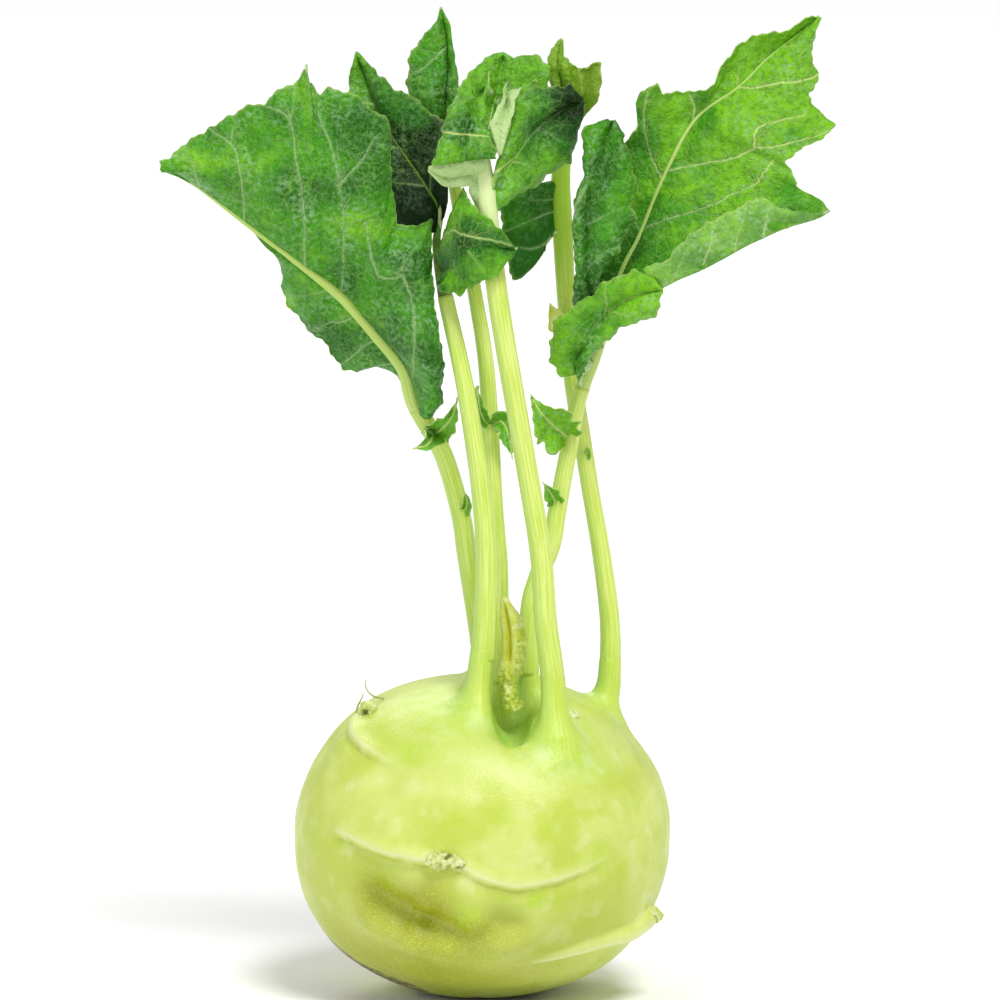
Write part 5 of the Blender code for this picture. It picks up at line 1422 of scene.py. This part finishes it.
class Finish:
    """A material with a short call for each kind of node that it needs."""

    def __init__(self, name):
        self.material = bpy.data.materials.new(name)
        self.material.use_nodes = True
        self.tree = self.material.node_tree
        self.shader = self.tree.nodes["Principled BSDF"]
        self.place = self.node("ShaderNodeTexCoord").outputs["Object"]

    def feed(self, socket, value):
        if isinstance(value, bpy.types.NodeSocket):
            self.tree.links.new(value, socket)
        else:
            socket.default_value = value

    def node(self, kind, **inputs):
        made = self.tree.nodes.new(kind)
        for name, value in inputs.items():
            self.feed(made.inputs[name], value)
        return made

    def mark(self, name):
        made = self.node("ShaderNodeAttribute")
        made.attribute_name = name
        return made.outputs["Fac"]

    def sums(self, operation, first, second=0.0):
        made = self.tree.nodes.new("ShaderNodeMath")
        made.operation = operation
        made.use_clamp = operation == "ADD"
        self.feed(made.inputs[0], first)
        self.feed(made.inputs[1], second)
        return made.outputs[0]

    def times(self, first, second):
        return self.sums("MULTIPLY", first, second)

    def difference(self, first, second):
        return self.sums("SUBTRACT", first, second)

    def span(self, value, low, high, start=0.0, end=1.0):
        """From start, where the value is low, to end, where it is high."""
        made = self.node("ShaderNodeMapRange", Value=value)
        made.interpolation_type = "SMOOTHSTEP"
        for name, number in (("From Min", low), ("From Max", high), ("To Min", start), ("To Max", end)):
            made.inputs[name].default_value = number
        return made.outputs["Result"]

    def noise(self, size, detail=3.0):
        """Clouds about this many millimetres across."""
        made = self.node("ShaderNodeTexNoise", Vector=self.place, Scale=1 / (size * MM), Detail=detail)
        return made.outputs["Fac"]

    def cells(self, size, feature="DISTANCE_TO_EDGE", where=None):
        """How far into a cell of about this many millimetres each place is."""
        made = self.node("ShaderNodeTexVoronoi", Vector=where or self.place, Scale=1 / (size * MM))
        made.feature = feature
        return made.outputs["Distance"]

    def mix(self, share, first, second):
        """The first colour where the share is 0, and the second where it is 1."""
        made = self.tree.nodes.new("ShaderNodeMix")
        made.data_type = "RGBA"
        for socket, value in ((0, share), (6, first), (7, second)):
            self.feed(made.inputs[socket], value)
        return made.outputs[2]

    def tint(self, skin, share, red, green, blue):
        """The skin's colour with this share of another, given by its screen values."""
        return self.mix(share, skin, colour(red, green, blue))

    def finish(self, skin, relief, rough):
        """The material, with this colour, relief and roughness."""
        for name, value in (("Base Color", skin), ("Normal", relief), ("Roughness", rough)):
            self.feed(self.shader.inputs[name], value)
        return self.material

    def bump(self, height, depth, under=None):
        """Relief this many millimetres deep, over the relief under it."""
        made = self.node("ShaderNodeBump", Height=height, Distance=depth * MM)
        if under:
            self.feed(made.inputs["Normal"], under)
        return made.outputs["Normal"]

    def line(self, value, middle, width, strength):
        """1 where the value is at the middle of a line this wide, 0 off it, times the strength."""
        away = self.sums("ABSOLUTE", self.difference(value, middle))
        return self.times(self.span(away, 0.0, width, 1.0, 0.0), strength)

    def wobbly(self, size, amount):
        """The place, shifted about by clouds of this size."""
        clouds = self.node("ShaderNodeTexNoise", Vector=self.place, Scale=1 / (size * MM))
        shift = self.tree.nodes.new("ShaderNodeVectorMath")
        shift.operation = "MULTIPLY_ADD"
        self.feed(shift.inputs[0], clouds.outputs["Color"])
        shift.inputs[1].default_value = (amount * MM,) * 3
        self.feed(shift.inputs[2], self.place)
        return shift.outputs[0]


def stalk_streaks(f):
    """Clouds drawn out along the stalks."""
    along = f.times(f.mark("along"), 0.012)
    grain = f.node("ShaderNodeCombineXYZ", X=f.mark("turn_x"), Y=f.mark("turn_y"), Z=along)
    return f.node("ShaderNodeTexNoise", Vector=grain.outputs[0], Scale=6.0, Detail=4.0).outputs["Fac"]


def stalk_colour(f, streaks):
    """Yellow-green with pale streaks, and painted shade: deeper green on the stalk's left side, away
    from the key light.
    """
    green = f.mix(f.span(streaks, 0.35, 0.65), colour(198, 222, 84), colour(224, 238, 138))
    green = f.tint(green, f.span(f.mark("along"), 30.0, 4.0, 0.0, 0.5), 182, 212, 50)
    # Painted shade: the left side of each stalk is deeper green.
    return f.mix(f.span(f.mark("turn_x"), 0.2, -1.0, 0.0, 0.5), green, colour(158, 200, 92))


def plain_colour(f, freckles):
    """Yellow-green in soft clouds, a darker green towards the top as painted shade, deeper olive in the
    creases and low down, partly the skin's own green and partly painted shade, with pale freckles and
    pores."""
    skin = f.mix(f.span(f.noise(15), 0.38, 0.64), colour(194, 210, 78), colour(212, 224, 120))
    skin = f.tint(skin, f.span(f.noise(6), 0.5, 0.75, 0.0, 0.6), 224, 232, 158)
    skin = f.tint(skin, f.span(f.noise(9), 0.52, 0.75, 0.0, 0.5), 184, 212, 50)
    height = f.node("ShaderNodeSeparateXYZ", Vector=f.place).outputs["Z"]
    # Painted shade: a darker green towards the top of the swollen stem.
    skin = f.tint(skin, f.span(height, 45 * MM, 75 * MM, 0.0, 0.3), 184, 206, 84)
    # Partly painted shade: olive in the hollows and low down, over the skin's own deeper green.
    skin = f.tint(skin, f.mark("olive"), 160, 168, 12)
    skin = f.tint(skin, f.times(f.mark("lime"), f.span(f.noise(2.5), 0.3, 0.55)), 176, 212, 8)
    skin = f.tint(skin, freckles, 214, 220, 116)
    return f.tint(skin, f.span(f.cells(2.3, "F1"), 0.06, 0.13, 0.22, 0.0), 226, 234, 170)


def scar_colour(f, skin, raised, lines):
    """The skin's colour with each scar's pale band and crest, the crest partly painted highlight, and the
    darker line below them, partly the scar's own edge and partly painted shadow under its lip.
    """
    side = f.mark("scar_side")
    skin = f.tint(skin, f.times(f.line(side, 0.3, 2.6, raised), 0.5), 224, 232, 152)
    # Partly painted highlight: the paler crest along each scar's lip.
    skin = f.tint(skin, f.times(f.line(side, -0.2, 1.0, raised), 0.55), 238, 240, 186)
    # Partly painted shadow: the darker line under each scar's lip.
    return f.tint(skin, f.times(lines, 0.4), 166, 172, 30)


def crown_colour(f, skin, streaks):
    """The skin's colour with the pale feet of the stalks, and a deeper green painted as shade in the pit
    between them.
    """
    crown = f.mix(f.span(f.noise(5), 0.4, 0.6), colour(206, 230, 150), colour(190, 220, 90))
    skin = f.mix(f.times(f.mark("stalk"), 0.85), skin, crown)
    skin = f.mix(f.sums("POWER", f.mark("stalk"), 6.0), skin, stalk_colour(f, streaks))
    # Painted shade: a deeper green in the pit between the stalks' feet.
    return f.tint(skin, f.times(f.mark("pit"), 0.6), 158, 204, 76)


def rough_colour(f, skin):
    """The skin's colour with the brown bark of the base and the tawny cork of the scars' ends, darker
    in the cork's dips, partly its own cracks and partly painted shade.
    """
    woody = f.mix(f.span(f.noise(1.6), 0.4, 0.6), colour(92, 82, 42), colour(168, 158, 98))
    skin = f.mix(f.mark("bark"), skin, woody)
    corky = f.mix(f.span(f.noise(1.4), 0.35, 0.65), colour(186, 200, 96), colour(224, 231, 168))
    # Partly painted shade: the cork is darker in its dips.
    corky = f.tint(corky, f.mark("crevice"), 112, 118, 40)
    return f.mix(f.mark("cork"), skin, corky)


def skin_finish(name):
    """The waxy skin of the swollen stem and the stalks."""
    f = Finish(name)
    freckled = f.span(f.mark("olive"), 0.0, 0.7, 0.14, 0.42)
    freckles = f.times(f.span(f.noise(0.42, 1.0), 0.5, 0.66), freckled)
    raised = f.span(f.mark("scar_height"), 0.05, 0.9)
    broken = f.times(raised, f.span(f.noise(4), 0.35, 0.6, 0.2, 1.0))
    # The line under each scar's lip: darkened in colour as partly painted shadow, and pressed in as relief.
    lines = f.line(f.mark("scar_side"), -2.0, 0.7, broken)
    streaks = stalk_streaks(f)
    skin = scar_colour(f, plain_colour(f, freckles), raised, lines)
    skin = rough_colour(f, crown_colour(f, skin, streaks))
    relief = f.bump(f.noise(0.8), 0.05)
    relief = f.bump(freckles, 0.06, relief)
    relief = f.bump(f.times(streaks, f.sums("POWER", f.mark("stalk"), 8.0)), 0.2, relief)
    relief = f.bump(lines, -0.2, relief)
    relief = f.bump(f.noise(0.6, 5.0), 0.12, relief)
    rough = f.span(f.noise(3), 0.3, 0.7, 0.34, 0.46)
    f.shader.inputs["Subsurface Weight"].default_value = 0.12
    f.shader.inputs["Subsurface Radius"].default_value = (1.0, 1.0, 0.3)
    f.shader.inputs["Subsurface Scale"].default_value = 0.003
    return f.finish(skin, relief, f.sums("ADD", rough, f.times(f.mark("cork"), 0.3)))


def blade_colour(f, deep, middle, bright, coarse, fine):
    """Clouds of three greens, lighter or darker by painted light and shade and a little darker along
    the midline as painted shade, with a pale bloom that is partly painted sheen, and a paler net of fine
    veins.
    """
    # Painted light and shade: each lobe's bright value shifts its greens lighter or darker.
    tone = f.difference(f.noise(13), f.times(f.mark("bright"), -0.35))
    # Painted shade: the blade is a little darker along its midline.
    tone = f.difference(tone, f.times(f.mark("middle"), 0.08))
    blade = f.mix(f.span(tone, 0.3, 0.52), deep, middle)
    blade = f.mix(f.span(tone, 0.5, 0.75), blade, bright)
    blade = f.mix(f.span(f.noise(1.8, 4.0), 0.42, 0.6, 0.0, 0.35), blade, deep)
    # Pale bloom in fine clouds, more of it along the veins: partly the leaf's own bloom, partly painted
    # sheen.
    dust = f.span(f.noise(1.1, 5.0), 0.42, 0.68)
    bloom_and_sheen_share = f.sums("ADD", f.times(f.mark("vein_broad"), 0.45), f.span(f.noise(8), 0.42, 0.68, 0.1, 0.8))
    bloom_and_sheen_share = f.times(bloom_and_sheen_share, f.mark("dust"))
    blade = f.tint(blade, f.times(dust, bloom_and_sheen_share), 154, 200, 146)
    patchy = f.times(f.span(f.noise(7, 2.0), 0.4, 0.65), f.span(f.mark("bright"), -0.9, 0.1))
    blade = f.tint(blade, f.times(f.times(coarse, patchy), 0.45), 140, 190, 80)
    return f.tint(blade, f.times(fine, f.span(f.mark("bright"), -0.9, 0.1, 0.0, 0.18)), 140, 190, 84)


def vein_colour(f, blade, vein, twig):
    """The blade's colour with its pale veins and their soft edges, the veins paler on lobes with more
    painted light, and a pale rim.
    """
    lit = f.span(f.mark("bright"), -0.1, 0.7)
    pale_green = f.mix(lit, colour(168, 202, 134), colour(204, 228, 128))
    halo = f.line(f.mark("vein_side"), 0.0, 1.3, f.mark("vein_near"))
    blade = f.tint(blade, f.times(halo, 0.3), 116, 168, 96)
    blade = f.mix(f.times(twig, f.span(f.mark("bright"), -0.9, 0.1, 0.1, 0.45)), blade, pale_green)
    blade = f.mix(f.times(vein, f.span(lit, 0.0, 1.0, 0.55, 0.85)), blade, pale_green)
    return f.tint(blade, f.times(f.mark("rim"), 0.5), 178, 208, 110)


def worn_colour(f, blade):
    """The blade's colour with its paler back and its withered parts."""
    shown = f.sums("MAXIMUM", f.mark("under"), f.mark("pale"))
    blade = f.mix(shown, blade, f.mix(0.75, blade, colour(206, 230, 164)))
    withered = f.mix(f.span(f.noise(3), 0.35, 0.65), colour(124, 152, 26), colour(184, 204, 84))
    return f.mix(f.mark("dry"), blade, withered)


def leaf_finish(name, deep, middle, bright):
    """A leaf blade's finish: glossy green, lighter or darker by painted light and shade, with a pale
    bloom that is partly painted sheen, pale veins with a net of fine ones between them, and a paler back."""
    f = Finish(name)
    place = f.wobbly(2.5, 1.4)
    coarse = f.span(f.cells(3.4, where=place), 0.0, 0.07, 1.0, 0.0)
    fine = f.span(f.cells(1.2, where=place), 0.0, 0.14, 1.0, 0.0)
    twig = f.line(f.mark("twig_side"), 0.0, 0.24, f.span(f.mark("twig_near"), 0.1, 0.4))
    vein = f.line(f.mark("vein_side"), 0.0, 0.55, f.span(f.mark("vein_near"), 0.2, 0.6))
    blade = vein_colour(f, blade_colour(f, deep, middle, bright, coarse, fine), vein, twig)
    rib = stalk_colour(f, stalk_streaks(f))
    rib = f.tint(rib, f.mark("ripe"), 154, 194, 52)
    rib = f.tint(rib, f.mark("pale"), 228, 240, 196)
    blade = f.mix(f.mark("rib"), worn_colour(f, blade), rib)
    blade_only = f.difference(1.0, f.mark("rib"))
    relief = f.bump(f.noise(0.55, 2.0), 0.10)
    relief = f.bump(f.times(f.noise(2.6, 5.0), blade_only), 1.3, relief)
    puckers = f.sums("MINIMUM", f.cells(1.3, where=place), 0.3)
    relief = f.bump(f.times(puckers, blade_only), 0.4, relief)
    relief = f.bump(f.times(coarse, blade_only), -0.05, relief)
    relief = f.bump(f.sums("MAXIMUM", vein, twig), 0.2, relief)
    f.shader.inputs["Specular IOR Level"].default_value = 0.2
    return f.finish(blade, relief, f.span(f.noise(2.5), 0.3, 0.7, 0.34, 0.5))


def dry_finish(name):
    """Withered leaf: rough and yellow-green, tawny in its folds, with dark specks among its grains and
    painted shade in the dips between them.
    """
    f = Finish(name)
    skin = f.mix(f.span(f.noise(3), 0.35, 0.65), colour(214, 224, 84), colour(238, 242, 160))
    skin = f.tint(skin, f.mark("fold"), 196, 196, 10)
    skin = f.tint(skin, f.times(f.mark("grainy"), f.span(f.noise(1.6), 0.35, 0.65)), 192, 214, 60)
    specks = f.times(f.mark("grainy"), f.span(f.cells(2.1, "F1"), 0.10, 0.24, 0.6, 0.0))
    # Dark specks, and painted shade in the dips between the grains.
    skin = f.tint(skin, f.sums("MAXIMUM", specks, f.mark("pit")), 104, 124, 34)
    return f.finish(skin, f.bump(f.noise(0.8, 6.0), 0.35), f.span(f.noise(2), 0.3, 0.7, 0.5, 0.7))


# --- the studio ---------------------------------------------------------------------------------


def floor():
    """A plain pale floor, wide enough to fill the view."""
    half = FLOOR_REACH
    shape = Shape([(-half, -half, 0), (half, -half, 0), (half, half, 0), (-half, half, 0)], [(0, 1, 2, 3)])
    f = Finish("floor")
    f.shader.inputs["Base Color"].default_value = (0.95, 0.95, 0.95, 1)
    f.shader.inputs["Roughness"].default_value = 0.9
    new_piece("floor", shape, f.material)


def aim(thing, target):
    thing.rotation_euler = (target - thing.location).to_track_quat("-Z", "Y").to_euler()


def lamp(name, kind, place, power, target, **settings):
    light = bpy.data.lights.new(name, kind)
    light.energy = power
    for setting, value in settings.items():
        setattr(light, setting, value)
    made = in_scene(name, light)
    made.location = place
    aim(made, target)


def studio():
    """A soft sun from the front right, with two large lamps and a white sky to fill the shadows."""
    low, high = CAD_BOX
    target = (low + high) / 2
    lamp("key_light", "SUN", (0.5, -1.0, 1.9), 2.1, target, angle=math.radians(20))
    lamp("fill_light", "AREA", (-1.8, -1.2, 1.0), 9.0, target, shape="DISK", size=1.4)
    lamp("back_light", "AREA", (-0.5, 1.6, 1.4), 10.0, target, shape="DISK", size=1.0)
    world = bpy.data.worlds.new("studio_air")
    world.use_nodes = True
    background = world.node_tree.nodes["Background"]
    background.inputs["Color"].default_value = (1, 1, 1, 1)
    background.inputs["Strength"].default_value = 0.45
    bpy.context.scene.world = world
    bpy.context.scene.view_settings.view_transform = "Standard"


def camera():
    """The view from the front and a little above, from far off."""
    elevation = math.radians(8)
    distance = 3.0
    frame_width = 0.25
    target = Vector((0.0045, 0.0, 0.1246))
    made = in_scene("camera", bpy.data.cameras.new("camera"))
    made.location = target
    made.location.y -= distance * math.cos(elevation)
    made.location.z += distance * math.sin(elevation)
    aim(made, target)
    made.data.lens = made.data.sensor_width * distance / frame_width
    made.data.clip_end = 100
    bpy.context.scene.camera = made


def main():
    camera()
    studio()
    floor()
    bulb_piece(skin_finish("bulb_skin"))
    stalk_finish = skin_finish("stalk_skin")
    # Painted light and shade: leaf_bright and leaf_dark are lit and shaded copies of one leaf finish, in
    # lighter and darker greens.
    bright = leaf_finish("leaf_bright", colour(30, 98, 0), colour(64, 148, 0), colour(122, 194, 10))
    dark = leaf_finish("leaf_dark", colour(2, 34, 0), colour(34, 110, 12), colour(104, 180, 18))
    finishes = {"leaf_bright": bright, "leaf_dark": dark, "dry_leaf": dry_finish("dry_leaf")}
    for number, (key, stalk) in enumerate(STALKS.items()):
        stalk_piece(key, stalk, stalk_finish)
        leaf_piece(key, stalk, finishes[stalk["slot"]], 100 * number)
    for number, (name, (slot, tufts)) in enumerate(LEAFLETS.items()):
        leaflet_piece(name, tufts, finishes[slot], slot, 900 + 7 * number)
    stub_piece(finishes["dry_leaf"])


main()
